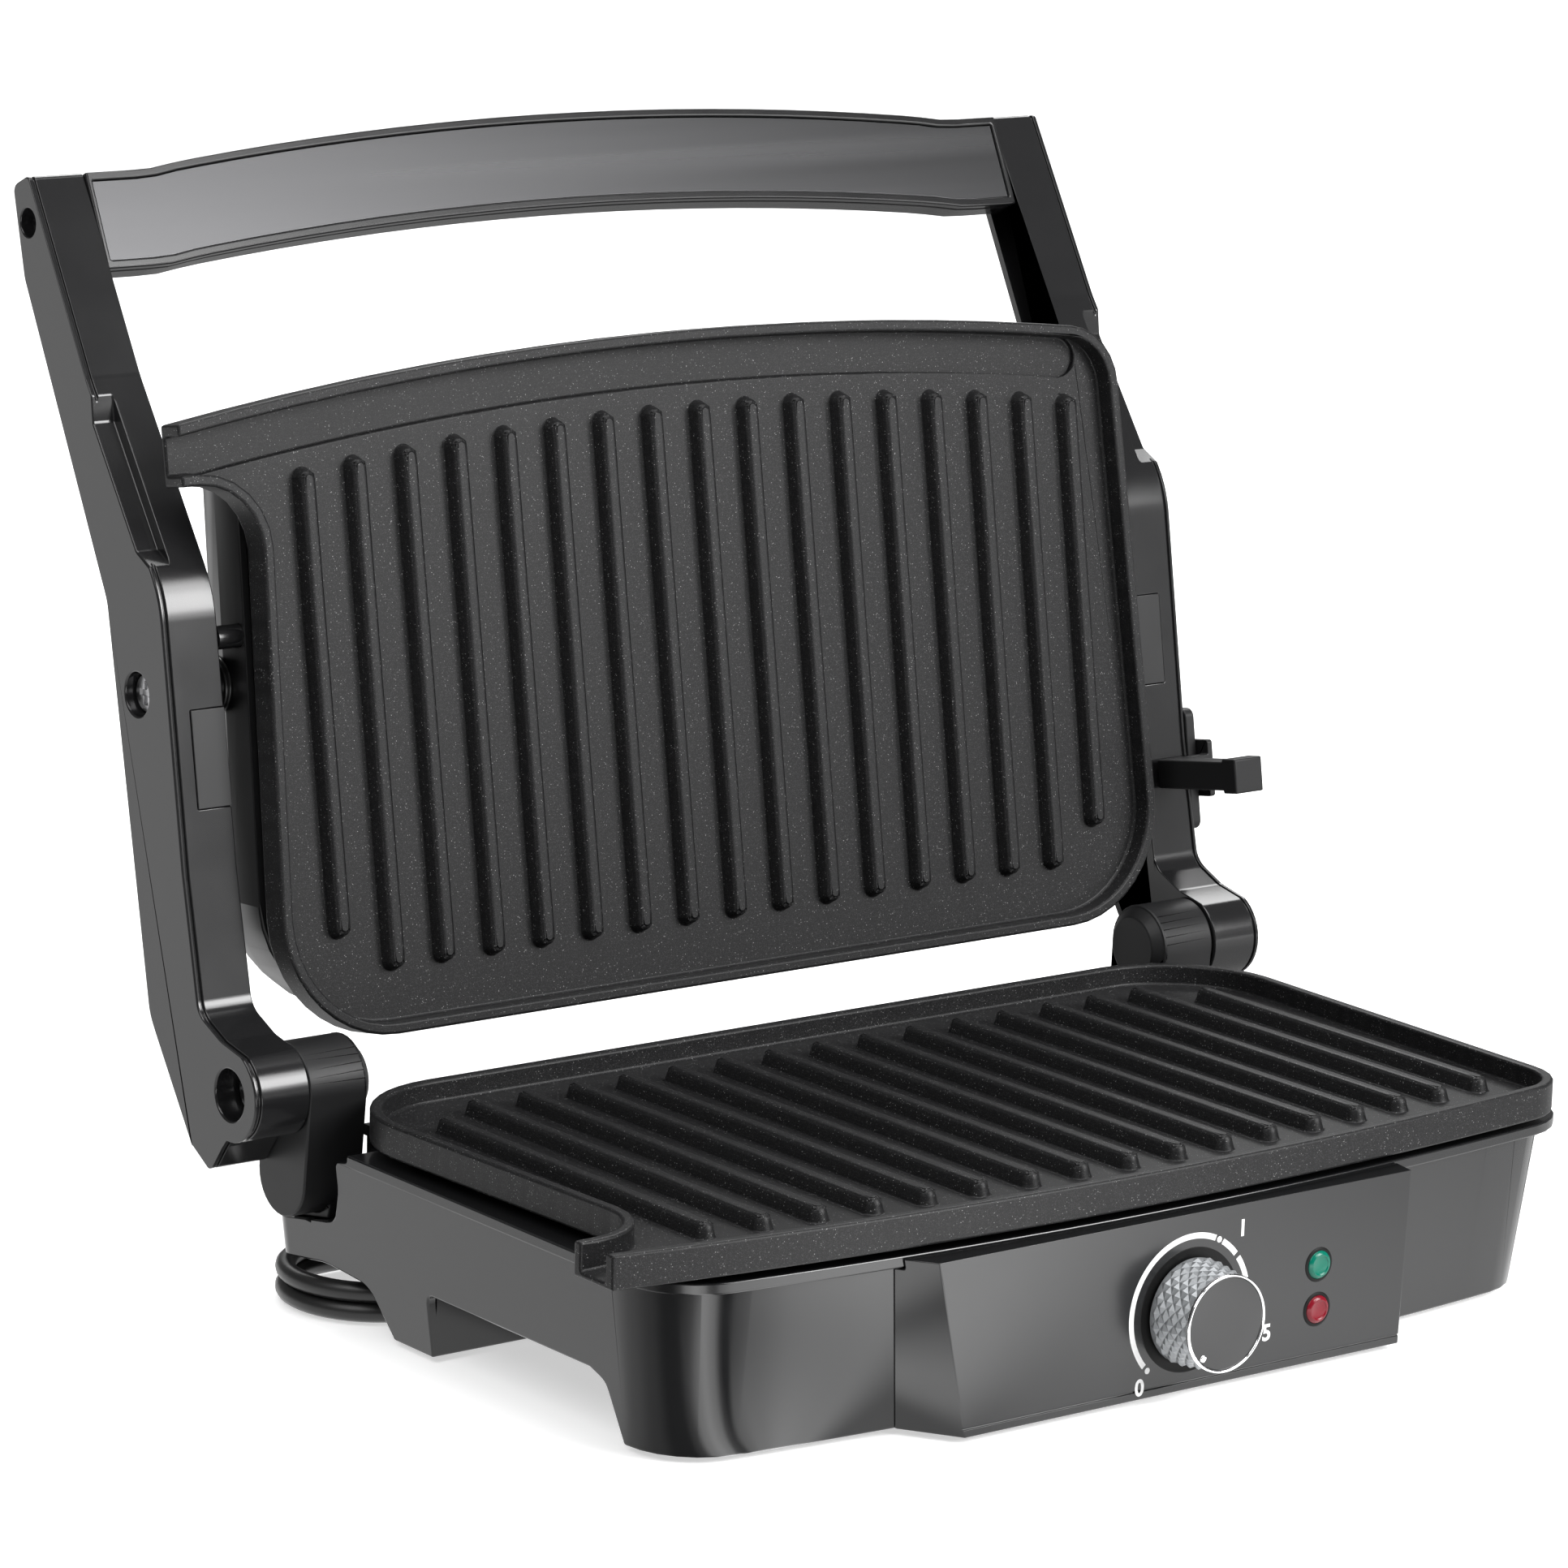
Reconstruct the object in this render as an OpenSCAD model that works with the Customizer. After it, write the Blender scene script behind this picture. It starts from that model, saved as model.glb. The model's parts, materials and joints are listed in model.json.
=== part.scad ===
// Panini press: two ribbed cast plates, a base with dial and lamps, and a lid on two side arms.
// Frame: origin on the table straight below the hinge axis, on the centre plane.
// +X is the user's right, -Y is the front, +Z is up.
// Plan outlines are drawn as (x, a), where a is the distance forward of the hinge axis.
// Lid pieces are drawn closed, as (x, a, h) with h the height above the hinge axis, then swung open.

/* [Lid position] */
// Opening angle of the lid, measured from closed
lid_open = 99.4; // [60:0.2:110]

/* [Plates] */
// Width of each grill plate
plate_w = 286; // [270:1:290]
// Distance from the hinge axis to the back edge of the plates
plate_back = 8; // [6:0.5:12]
// Distance from the hinge axis to the front edge of the plates
plate_front = 172; // [165:1:180]
// Distance from the hinge axis to the front edge of the upper plate
upper_front = 179; // [172:0.5:181]
// How much each side of a plate draws in towards the front
plate_taper = 3.2; // [0:0.2:4]
// Sagitta of the bowed front edge over the plate's width
front_bow = 10; // [6:0.5:14]
// Corner radius at the back of the plates
plate_back_r = 32; // [24:1:40]
// Corner radius at the front right of the plates
plate_front_r = 17; // [10:1:22]
// Thickness of the plate's floor
plate_floor = 3; // [2.5:0.1:3.5]
// Height of the whole casting, from its underside to the rim
plate_h = 8.5; // [8:0.1:9.5]
// Width of the raised rim
rim_w = 3; // [2:0.1:4]
// Depth of the grease channel below the floor
channel_depth = 1.5; // [1:0.1:1.8]
// Width of the grease channel behind the front rim
channel_w = 11; // [8:0.5:13]
// How far the pouring spout stands out of the left side
spout_len = 19; // [14:1:20]
// Outer width of the spout at its mouth
spout_w = 15.5; // [13:0.5:18]
// Radius of the blend between the side and the spout
spout_r = 17; // [10:1:17]

// Gap between the two rims when the lid is closed
rim_gap = 4; // [4:0.1:5]
// Distance from a plate's back face to the sheet that throws the heat back
reflector_gap = 10; // [9:0.1:11]
// Radius of the tubular heaters
heater_r = 3.3; // [2.5:0.1:3.6]

/* [Ridges] */
// Number of ridges on each plate
ridge_count = 17; // [13:2:17]
// Distance between ridges
ridge_pitch = 15.5; // [14:0.1:16]
// Height of a ridge above the floor
ridge_h = 4; // [3:0.1:4.5]
// Width of a ridge at its foot
ridge_foot = 6.4; // [5:0.1:8]
// Width of a ridge at its crown
ridge_top = 4; // [3:0.1:4.5]
// Gap from the plate's back edge to the ridges
ridge_back_gap = 15.5; // [12:0.5:20]
// Gap from the plate's front edge to the ridges
ridge_front_gap = 18.5; // [17:0.5:24]
// How much shorter the outermost ridges are
end_ridge_cut = 10; // [0:1:14]

/* [Base] */
// Height of the hinge axis above the table
hinge_z = 59.5; // [58:0.5:66]
// Height of the lower plate's underside above the table
plate_z = 49.5; // [48.5:0.1:50]
// Width of the housing over its side walls
body_w = 278; // [274:1:282]
// Distance from the hinge axis to the housing's front wall
body_front = 161.5; // [158:0.5:163]
// Distance from the hinge axis back to the housing's rear wall
body_rear = 16.5; // [15:0.5:19]
// How far the side and front walls lean out between the table and the flange
body_draft = 5.5; // [2:0.5:6]
// Wall thickness of the housing
wall = 2.5; // [2:0.1:3]
// Height of the flange's top above the table
flange_z = 47; // [46:0.1:47.5]
// Thickness of the flange
flange_t = 3; // [2.5:0.1:3.5]
// How far the flange stands out of the side walls' foot
flange_out = 6.8; // [6:0.1:7.2]
// Ground clearance of the housing's walls
body_z = 1.5; // [1:0.1:2.5]
// Height of the bottom cover's underside above the table
cover_z = 18; // [17:0.1:18.5]

/* [Panel] */
// Distance from the hinge axis to the panel's face
panel_front = 173.5; // [170:0.5:176]
// Height of the panel's top edge above the table
panel_top = 46.3; // [44:0.1:46.5]
// Distance of the knob's axis right of the centre plane
knob_x = 1.5; // [-10:0.5:10]
// Height of the knob's axis above the table
knob_z = 21.9; // [20:0.1:26]
// Radius of the knob's cap
knob_r = 12.2; // [10:0.1:13]
// Depth of the knob in front of the panel
knob_len = 14; // [11:0.5:18]
// Distance of the lamps right of the centre plane
lamp_x = 43.3; // [35:0.5:55]
// Radius of a lamp's lens
lamp_r = 3.6; // [2.5:0.1:4.5]

// Thickness of the panel's walls
panel_t = 2.2; // [1.8:0.1:2.6]
// Radius of the dial's shaft
shaft_r = 3; // [2:0.1:3.5]

/* [Arms] */
// Gap between a plate's side and the arm beside it
arm_gap = 5.4; // [4:0.1:7]
// Width of each arm
arm_w = 16.1; // [14:0.1:18]
// Wall thickness of the arms
arm_wall = 2.4; // [2:0.1:3]
// Radius of the arm's hinge barrel
barrel_r = 12; // [11.5:0.1:12.5]
// Radius of the hinge screws' shank
hinge_pin_r = 4; // [3:0.1:5]
// Distance from the hinge axis to the plate's pivot, along the arm
pivot_a = 99.4; // [95:0.2:105]
// Height of the plate's pivot above the hinge axis when closed
pivot_h = 28.4; // [27:0.2:29]
// Radius of the pivot pins
pivot_r = 4; // [3:0.1:5]
// Running clearance round every shaft that turns
running = 0.05; // [0.03:0.01:0.08]

/* [Handle] */
// Width of the handle bar, along its face
handle_w = 25.8; // [22:0.2:28]
// Thickness of the handle bar
handle_t = 9.5; // [8:0.1:11]
// Rise of the handle's arch at the centre
handle_rise = 8.5; // [4:0.5:12]
// Width of the frame round the polished insert
handle_lip = 2.2; // [1.5:0.1:3]
// Thickness of the frame and of the insert behind it
bezel_t = 2.6; // [2:0.1:3]

/* [Lid cover] */
// Height of the cover's top above the hinge axis when closed
lid_top = 40; // [38:0.5:42]
// Wall thickness of the lid cover
lid_wall = 2.5; // [2:0.1:3]

/* [Cord] */
// Diameter of the cord
cord_d = 5.2; // [4.5:0.1:6]

/* [Hidden] */

body_color = "#2b2c2e";
plate_color = "#3a3b3d";
black = "#1a1a1b";
steel = "#a9abad";

plate_hw = plate_w / 2;
// Centre of the bow, shared by every curve that runs parallel to the front edge
bow_r = (pow(plate_hw, 2) + pow(front_bow, 2)) / (2 * front_bow);
bow_c = plate_front - bow_r;

body_hw = body_w / 2;
flange_hw = body_hw + flange_out;
flange_front = plate_front - 3;
flange_back = 1.5;
body_front_r = 20;
// Inner side of the seats for the hinge posts
pocket_x = body_hw - 13.5;
// Top of the rear deck, and of the opening below it
deck_z = 24;
rear_open_z = 14;
// Heater: half the distance between its legs, their middle, and the centre of its turn
heater_leg = 30;
heater_mid = 88;
heater_turn_x = plate_hw - 69;
heater_end_x = plate_hw - 47;
// Screws and legs below the base
screw_x = body_hw - 21;
screw_as = [70, 120];
foot_x = body_hw - 27;
foot_rear_x = body_hw - 31;
foot_places = [[-foot_x, -138], [foot_x, -138], [foot_rear_x, -4]];
post_screw_x = pocket_x + 6.5;
post_screw_dy = 4;
// Pads that carry the lower plate
pad_x = body_hw - 15;
pad_as = [34, 140];
// Bosses that carry the heat shields
shield_x = plate_hw - 43;
shield_as = [40, 136];
// Inner side of the block that the cord comes out of
gland_x = body_hw - 19;
// Post that the cord is wound round
hub_x0 = -80;
hub_x1 = 30;
hub_hw = 20.4;

arm_in = plate_hw + arm_gap;
arm_out = arm_in + arm_w;
post_out = arm_in - 0.4;
post_in = post_out - 19.5;
post_r = barrel_r - 0.7;

// Closed lid: height of the upper plate's back face and of the cover's lower edge
lid_plate_h = plate_z + 2 * plate_h + rim_gap - hinge_z;
lid_rim_h = lid_plate_h + 2.5;
sheet = 1;

// ---------- helpers ----------

// Points of an arc round c with radius r, from angle t0 to t1
function arc(c, r, t0, t1, n = 8) =
    [for (i = [0:n]) let (t = t0 + (t1 - t0) * i / n) c + r * [cos(t), sin(t)]];

// Distance forward of a bowed line at x, where the line crosses the centre plane at front
function bow_a(x, front) = bow_c + sqrt(pow(front - bow_c, 2) - x * x);

// Bowed line from x0 to x1
function bow_line(front, x0, x1, n = 28) =
    [for (i = [0:n]) let (x = x0 + (x1 - x0) * i / n) [x, bow_a(x, front)]];

// Centre of a fillet of radius r between a side at x = hw and the bowed front
function corner_c(hw, front, r) = [hw - r, bow_c + sqrt(pow(front - bow_c - r, 2) - pow(hw - r, 2))];

// Angle at which that fillet meets the bow
function corner_t(hw, front, r) =
    let (c = corner_c(hw, front, r)) atan2(c.y - bow_c, c.x);

// Outline with rounded back corners and a bowed front; its sides draw in by taper towards the front
function tray(hw, back, front, rb, rf, taper = 0) =
    let (c = corner_c(hw - taper, front, rf), t = corner_t(hw - taper, front, rf),
         xt = (front - bow_c) * cos(t))
    concat(
        arc([-hw + rb, back + rb], rb, 180, 270),
        arc([hw - rb, back + rb], rb, 270, 360),
        arc(c, rf, 0, t, 6),
        bow_line(front, xt * 0.98, -xt * 0.98),
        arc([-c.x, c.y], rf, 180 - t, 180, 6));

// Corner p of a polygon, rounded with radius p[2] between its neighbours p0 and p1
function round_corner(p0, p, p1, n = 5) =
    p[2] == 0 ? [[p.x, p.y]] :
    let (v = [p.x, p.y], u0 = [p0.x, p0.y] - v, u1 = [p1.x, p1.y] - v,
         e0 = u0 / norm(u0), e1 = u1 / norm(u1),
         half = acos(max(-1, min(1, e0 * e1))) / 2,
         b = (e0 + e1) / norm(e0 + e1),
         c = v + b * p[2] / sin(half),
         s0 = v + e0 * p[2] / tan(half) - c, s1 = v + e1 * p[2] / tan(half) - c,
         t0 = atan2(s0.y, s0.x), dt = atan2(s0.x * s1.y - s0.y * s1.x, s0 * s1))
    arc(c, p[2], t0, t0 + dt, n);

// Polygon of corners [x, y, radius]
function rounded(p) =
    [for (i = [0:len(p) - 1])
        each round_corner(p[(i + len(p) - 1) % len(p)], p[i], p[(i + 1) % len(p)])];

// Polygon moved inward by d along its edges' normals; counter-clockwise points
function inset(p, d) =
    [for (i = [0:len(p) - 1])
        let (a = p[(i + len(p) - 1) % len(p)], b = p[i], c = p[(i + 1) % len(p)],
             u = (b - a) / norm(b - a), w = (c - b) / norm(c - b),
             n0 = [-u.y, u.x], n1 = [-w.y, w.x])
        b + d * (n0 + n1) / (1 + n0 * n1)];

// Upright prism of a plan outline, from z up by t
module plan(z, t) {
    translate([0, 0, z]) mirror([0, 1, 0]) linear_extrude(t) children();
}

// Prism of a side profile drawn as (a, height), from x0 to x1
module side(x0, x1) {
    translate([x1, 0, 0]) rotate([90, 0, -90]) linear_extrude(x1 - x0) children();
}

// Round bar across the press, from x0 to x1, at distance a and height z
module axle(x0, x1, a, z, r) {
    translate([x0, -a, z]) rotate([0, 90, 0]) cylinder(r = r, h = x1 - x0, $fn = 64);
}

// Round bar running forward from a0 to a1
module spindle(x, z, a0, a1, r) {
    translate([x, -a0, z]) rotate([90, 0, 0]) cylinder(r = r, h = a1 - a0, $fn = 64);
}

// Box from corner p to corner q
module block(p, q) {
    translate(p) cube(q - p);
}

module both() {
    children();
    mirror([1, 0, 0]) children();
}

// The child on the right for s = 1, mirrored to the left for s = -1
module on_side(s) {
    mirror([s < 0 ? 1 : 0, 0, 0]) children();
}

// Closed lid coordinates to the open lid
module in_lid() {
    translate([0, 0, hinge_z]) rotate([-lid_open, 0, 0]) children();
}

// ---------- plates ----------

// Plate outline from its back edge, grown by g, with the spout's mouth at x = -tip
function plate_outline(back, g, tip) =
    let (hw = plate_hw, front_hw = plate_hw - plate_taper, rb = plate_back_r,
         c = corner_c(front_hw, plate_front, plate_front_r),
         t = corner_t(front_hw, plate_front, plate_front_r), front = plate_front + g,
         xt = (front - bow_c) * cos(t), mouth = bow_a(tip, plate_front) - spout_w - g)
    concat(
        arc([-hw + rb, back + rb], rb + g, 180, 270, 10),
        arc([hw - rb, back + rb], rb + g, 270, 360, 10),
        arc(c, plate_front_r + g, 0, t, 6),
        bow_line(front, xt * 0.98, -tip, 32),
        [[-tip, mouth]],
        arc([-front_hw - spout_r, mouth - spout_r + g], spout_r - g, 90, 0, 6));

// Ridge section: a taper with a softened crown, [half width, height]
ridge_half = [
    [ridge_foot / 2, -0.5], [ridge_top / 2 + 0.2, ridge_h - 1],
    [ridge_top / 2 - 0.4, ridge_h - 0.25], [ridge_top / 2 - 1.2, ridge_h]
];

module ridge_end() {
    rotate_extrude(angle = 180, $fn = 32) polygon(concat([[0, -0.5]], ridge_half, [[0, ridge_h]]));
}

// One ridge at x, from a0 forward to a1
module ridge(x, a0, a1) {
    r = ridge_foot / 2;
    section = concat(ridge_half, [for (i = [3:-1:0]) [-ridge_half[i].x, ridge_half[i].y]]);
    translate([x, -a0 - r, plate_floor]) {
        rotate([90, 0, 0]) linear_extrude(a1 - a0 - 2 * r) polygon(section);
        ridge_end();
        translate([0, -(a1 - a0 - 2 * r), 0]) rotate([0, 0, 180]) ridge_end();
    }
}

// Cast plate lying on its underside, ridges up, from its back edge to plate_front
module grill_plate(back) {
    tip = plate_hw + spout_len;
    inner = plate_outline(back, -rim_w, tip + 1);
    outer_front = plate_front - rim_w;
    inner_front = outer_front - channel_w;
    end_x = plate_hw - 14;
    difference() {
        plan(0, plate_h) polygon(plate_outline(back, 0, tip));
        plan(plate_floor, plate_h) polygon(inner);
        plan(plate_floor - channel_depth, plate_h) intersection() {
            polygon(inner);
            polygon(concat(
                bow_line(outer_front + 1, end_x - channel_w / 2, -tip - 2),
                bow_line(inner_front, -tip - 2, end_x - channel_w / 2)));
        }
        plan(plate_floor - channel_depth, plate_h)
            translate([end_x - channel_w / 2, bow_a(end_x - channel_w / 2, outer_front) - channel_w / 2])
                circle(r = channel_w / 2, $fn = 32);
    }
    for (i = [0:ridge_count - 1]) {
        x = (i - (ridge_count - 1) / 2) * ridge_pitch;
        cut = i == 0 || i == ridge_count - 1 ? end_ridge_cut : 0;
        ridge(x, back + ridge_back_gap + cut, bow_a(x, plate_front) - ridge_front_gap);
    }
}

// Bosses on a plate's back that carry the heat shield
module shield_bosses() {
    for (s = [-1, 1]) for (a = shield_as)
        translate([s * shield_x, -a, -reflector_gap]) cylinder(r = 3.5, h = reflector_gap + 1, $fn = 32);
}

// Tubular heater: two legs across the plate joined by a half ring
module heater(z) {
    for (s = [-1, 1]) axle(-heater_turn_x, heater_end_x, heater_mid + s * heater_leg, z, heater_r);
    for (s = [-1, 1]) axle(heater_end_x, heater_end_x + 12, heater_mid + s * heater_leg, z, heater_r - 1.3);
    translate([-heater_turn_x, -heater_mid, z]) rotate([0, 0, 90]) rotate_extrude(angle = 180, $fn = 64)
        translate([heater_leg, 0]) circle(r = heater_r, $fn = 24);
}

// Bent straps that hold the heater against the back of a plate, drawn below height 0
module straps() {
    deep = 2 * heater_r;
    side_in = heater_r + 0.4;
    for (x = [-50, 10, 70]) for (s = [-1, 1]) side(x - 5, x + 5)
        translate([heater_mid + s * heater_leg, 0]) polygon([
            [-side_in - sheet, 0], [-side_in - sheet, -deep - sheet], [side_in + sheet, -deep - sheet],
            [side_in + sheet, 0], [side_in, 0], [side_in, -deep], [-side_in, -deep], [-side_in, 0]]);
}

// ---------- base ----------

// Side profile of the seats cut for the hinge posts
pocket_profile = rounded([
    [-60, 13.6, 0], [10, 25.8, 0], [14.2, 27, 5], [17.2, 36, 6], [17.2, 43.4, 2], [24.4, 45.2, 0],
    [24.4, 90, 0], [-60, 90, 0]
]);

// Lean of the side and front walls at height z
function lean(z) = body_draft * (z - body_z) / (flange_z - flange_t - body_z);

// Volume inside the housing's walls grown by g, from height z0 to z1
module body_volume(g, z0, z1) {
    hull() for (z = [z0, z1 - 0.01])
        plan(z, 0.01) polygon(tray(body_hw + lean(z) + g, -body_rear - g, body_front + lean(z) + g,
                                   8, body_front_r + lean(z) + g));
}

// Housing grown by g, with its rear deck and the seats for the posts cut away
module body_solid(g) {
    difference() {
        body_volume(g, body_z + min(0, g) * 2, flange_z - flange_t + g);
        block([-300, -3 + g, deck_z + g], [300, 100, 200]);
        both() translate([0, g, g]) side(pocket_x + g, 300) polygon(pocket_profile);
    }
}

// Opening in each side wall, between the front corner and the rear foot
window_profile = rounded([
    [53.5, -9, 0], [53.5, 18, 2.5], [122, 18, 0], [128, 15.8, 4], [134.5, -1, 0], [134.5, -9, 0]
]);

// Arch over the cord at the rear of each side wall
arch_profile = rounded([
    [-30, 11.2, 0], [-14, 11.4, 0], [8, 14.4, 30], [27, 13.2, 9], [36.6, 1.5, 3], [41, 1.5, 0], [41, -9, 0],
    [-30, -9, 0]
]);

module base_housing() {
    color(body_color) {
        difference() {
            union() {
                difference() {
                    body_solid(0);
                    body_solid(-wall);
                }
                // Foot bar behind the side openings
                block([-body_hw + 1, -53.5, body_z], [body_hw - 1, -51, cover_z]);
                plan(flange_z - flange_t, flange_t)
                    polygon(tray(flange_hw, flange_back, flange_front, 12, 20));
                // Pads that carry the plate
                for (s = [-1, 1]) for (a = pad_as)
                    block([s * pad_x - 6, -a - 4, flange_z - 0.5], [s * pad_x + 6, -a + 4, plate_z]);
                // Bosses for the screws of the bottom cover
                for (s = [-1, 1]) for (a = screw_as)
                    translate([s * screw_x, -a, cover_z + wall])
                        cylinder(r = 4.5, h = flange_z - flange_t - cover_z - wall + 0.5, $fn = 32);
            }
            // Opening below the plate
            plan(flange_z - flange_t - wall - 1, 20) polygon(tray(body_hw - 27, 24, body_front - 11.5, 20, 12));
            // Seats for the hinge posts stay clear of the flange
            both() side(pocket_x, 300) polygon(pocket_profile);
            both() side(body_hw - 8, body_hw + 8) polygon(window_profile);
            both() side(body_hw - 8, body_hw + 8) polygon(arch_profile);
            // The rear is open below the deck, for the cord
            block([-body_hw + 8, 8, -5], [body_hw - 8, 40, rear_open_z]);
            // Opening behind the panel
            block([-58, -body_front - 10, 7], [60, -body_front + 12, 39]);
            // Screw holes
            for (s = [-1, 1]) for (a = screw_as)
                translate([s * screw_x, -a, cover_z]) cylinder(r = 1.5, h = 14, $fn = 24);
            post_screw_holes();
        }
    }
}

// Bottom cover: half width and front edge, inside the leaning walls and clear of the thermostat
cover_hw = body_hw + lean(cover_z) - wall - 0.2;
cover_front = body_front - wall - 0.2;

module bottom_cover() {
    color(black) difference() {
        union() {
            difference() {
                plan(cover_z, wall)
                    polygon(tray(cover_hw, -body_rear + wall + 0.2, cover_front, 6,
                                 body_front_r + lean(cover_z) - wall));
                both() block([pocket_x - wall - 0.5, -28, cover_z - 1], [200, 40, cover_z + 9]);
            }
            // Post that the cord is wound round
            translate([0, 0, 0.9]) linear_extrude(rear_open_z - 1.2)
                polygon(rounded([[hub_x0, -hub_hw, 8], [hub_x1, -hub_hw, 8],
                                 [hub_x1, hub_hw, 8], [hub_x0, hub_hw, 8]]));
            block([hub_x0, -hub_hw, rear_open_z - 1], [hub_x1, body_rear - wall - 0.3, cover_z + 0.5]);
            // Legs of the front and rear right feet
            for (p = foot_places) translate([p.x, p.y, 2.5]) cylinder(r = 8, h = cover_z - 2, $fn = 48);
        }
        for (s = [-1, 1]) for (a = screw_as)
            translate([s * screw_x, -a, cover_z - 1]) cylinder(r = 1.7, h = 9, $fn = 24);
        for (p = foot_places) translate([p.x, p.y, 0]) cylinder(r = 3, h = 7, $fn = 32);
        long_foot();
    }
}

module base_screws() {
    color(steel) {
        for (s = [-1, 1]) for (a = screw_as) translate([s * screw_x, -a, 0]) {
            translate([0, 0, cover_z - 1.6]) cylinder(r = 3, h = 1.6, $fn = 32);
            translate([0, 0, cover_z - 0.1]) cylinder(r = 1.5, h = 12, $fn = 24);
        }
        // Screws of the hinge posts, driven from below
        both() for (dy = [-post_screw_dy, post_screw_dy])
            translate([post_screw_x, dy, seat_z(-dy - 3 - wall) - wall]) {
            translate([0, 0, -1.6]) cylinder(r = 2.8, h = 1.6, $fn = 32);
            translate([0, 0, -0.1]) cylinder(r = 1.5, h = 10, $fn = 24);
        }
    }
}

module long_foot() {
    linear_extrude(3) polygon(rounded([[hub_x0 + 8, -12, 6], [hub_x1 - 8, -12, 6],
                                       [hub_x1 - 8, 12, 6], [hub_x0 + 8, 12, 6]]));
}

// Rubber feet: three round ones with a stem, and a long one under the cord post
module feet() {
    color(black) {
        for (p = foot_places) translate([p.x, p.y, 0]) {
            cylinder(r = 7, h = 2.5, $fn = 48);
            translate([0, 0, 2.4]) cylinder(r = 3, h = 4, $fn = 32);
        }
        long_foot();
    }
}

// Face outline of the panel at distance a: it widens towards the housing
function panel_face(grow_l, grow_r) = [
    [-67.9 - grow_l, body_z], [71.4 + grow_r, body_z],
    [73.3 + grow_r, panel_top], [-77.4 - grow_l, panel_top]
];

module panel_solid(inset_by, front) {
    hull() {
        translate([0, -front, 0]) rotate([90, 0, 0]) linear_extrude(0.01)
            polygon([for (p = panel_face(-inset_by, -inset_by)) [p.x, p.y]]);
        translate([0, -front + 20, 0]) rotate([90, 0, 0]) linear_extrude(0.01)
            polygon([for (p = panel_face(13 - inset_by, 4 - inset_by)) [p.x, p.y]]);
    }
}

module control_panel() {
    color(body_color) difference() {
        panel_solid(0, panel_front);
        intersection() {
            panel_solid(panel_t, panel_front - panel_t);
            block([-200, -300, -5], [200, 0, panel_top - panel_t]);
        }
        body_volume(0, -5, flange_z - flange_t);
        // Line above the panel's lower edge
        block([-200, -panel_front - 1, body_z + 2], [200, -panel_front + 0.4, body_z + 2.5]);
        plan(flange_z - flange_t - 0.2, 20)
            polygon(tray(flange_hw + 0.2, flange_back, flange_front + 0.2, 12, 20));
        spindle(knob_x, knob_z, panel_front - 20, panel_front + 5, 4.5);
        for (z = lamp_zs) spindle(lamp_x, z, panel_front - 20, panel_front + 5, lamp_r + 0.1);
    }
}

lamp_zs = [26.6, 15.1];

module lower_plate() {
    color(plate_color) translate([0, 0, plate_z]) {
        grill_plate(plate_back);
        shield_bosses();
    }
}

module lower_element() {
    color(steel) heater(plate_z - heater_r);
}

module element_straps() {
    color(steel) translate([0, 0, plate_z]) straps();
}

// Sheet tray behind a plate, open upwards, its floor's upper face at height 0
module reflector(rim) {
    hw = plate_hw - 34;
    back = plate_back + 20;
    front = plate_front - 25;
    plan(-sheet, sheet) polygon(tray(hw, back, front, 18, 10));
    plan(-sheet, rim + sheet) difference() {
        polygon(tray(hw, back, front, 18, 10));
        polygon(tray(hw - sheet, back + sheet, front - sheet, 18 - sheet, 10 - sheet));
    }
}

module lower_reflector() {
    color(steel) translate([0, 0, plate_z - reflector_gap]) reflector(3);
}

// ---------- dial and lamps ----------

module thermostat() {
    color(steel) difference() {
        union() {
            spindle(knob_x, knob_z, panel_front - 13.8, panel_front - 5.5, 11);
            spindle(knob_x, knob_z, panel_front - 5.6, panel_front - panel_t, 4.4);
            block([knob_x - 17, -panel_front + 5, knob_z - 5], [knob_x + 17, -panel_front + 6, knob_z + 5]);
            for (s = [-1, 1])
                spindle(knob_x + s * 14, knob_z, panel_front - 5.1, panel_front - panel_t, 2);
        }
        spindle(knob_x, knob_z, panel_front - 12, panel_front + 5, shaft_r + running);
    }
}

module thermostat_shaft() {
    color(steel) spindle(knob_x, knob_z, panel_front - 11.5, panel_front + knob_len - 4, shaft_r);
}

module knob_skirt() {
    color("#b9bcc0") difference() {
        union() {
            translate([knob_x, -panel_front - 0.5, knob_z]) rotate([90, 0, 0])
                cylinder(r1 = knob_r + 1.2, r2 = knob_r, h = knob_len - 1.5, $fn = 72);
            spindle(knob_x, knob_z, panel_front + knob_len - 1.1, panel_front + knob_len, knob_r);
        }
        spindle(knob_x, knob_z, panel_front, panel_front + knob_len - 4, shaft_r);
        spindle(knob_x, knob_z, panel_front + knob_len - 1.1, panel_front + knob_len + 5, knob_r - 0.8);
    }
}

module knob_cap() {
    color("#4a4b4d")
        spindle(knob_x, knob_z, panel_front + knob_len - 1.1, panel_front + knob_len - 0.3, knob_r - 0.8);
}

module lamp(z) {
    spindle(lamp_x, z, panel_front - 6, panel_front - panel_t, lamp_r + 1.2);
    spindle(lamp_x, z, panel_front - panel_t - 0.1, panel_front + 0.7, lamp_r);
    translate([lamp_x, -panel_front - 0.7, z]) rotate([90, 0, 0])
        cylinder(r1 = lamp_r, r2 = lamp_r - 0.7, h = 0.5, $fn = 48);
}

module green_lamp() {
    color("#0f6b52") lamp(lamp_zs[0]);
}

module red_lamp() {
    color("#7a1020") lamp(lamp_zs[1]);
}

// ---------- hinges ----------

// Height of the seat's floor at distance a
function seat_z(a) = 25.8 + (a - 10) * 12.2 / 70;

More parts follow.
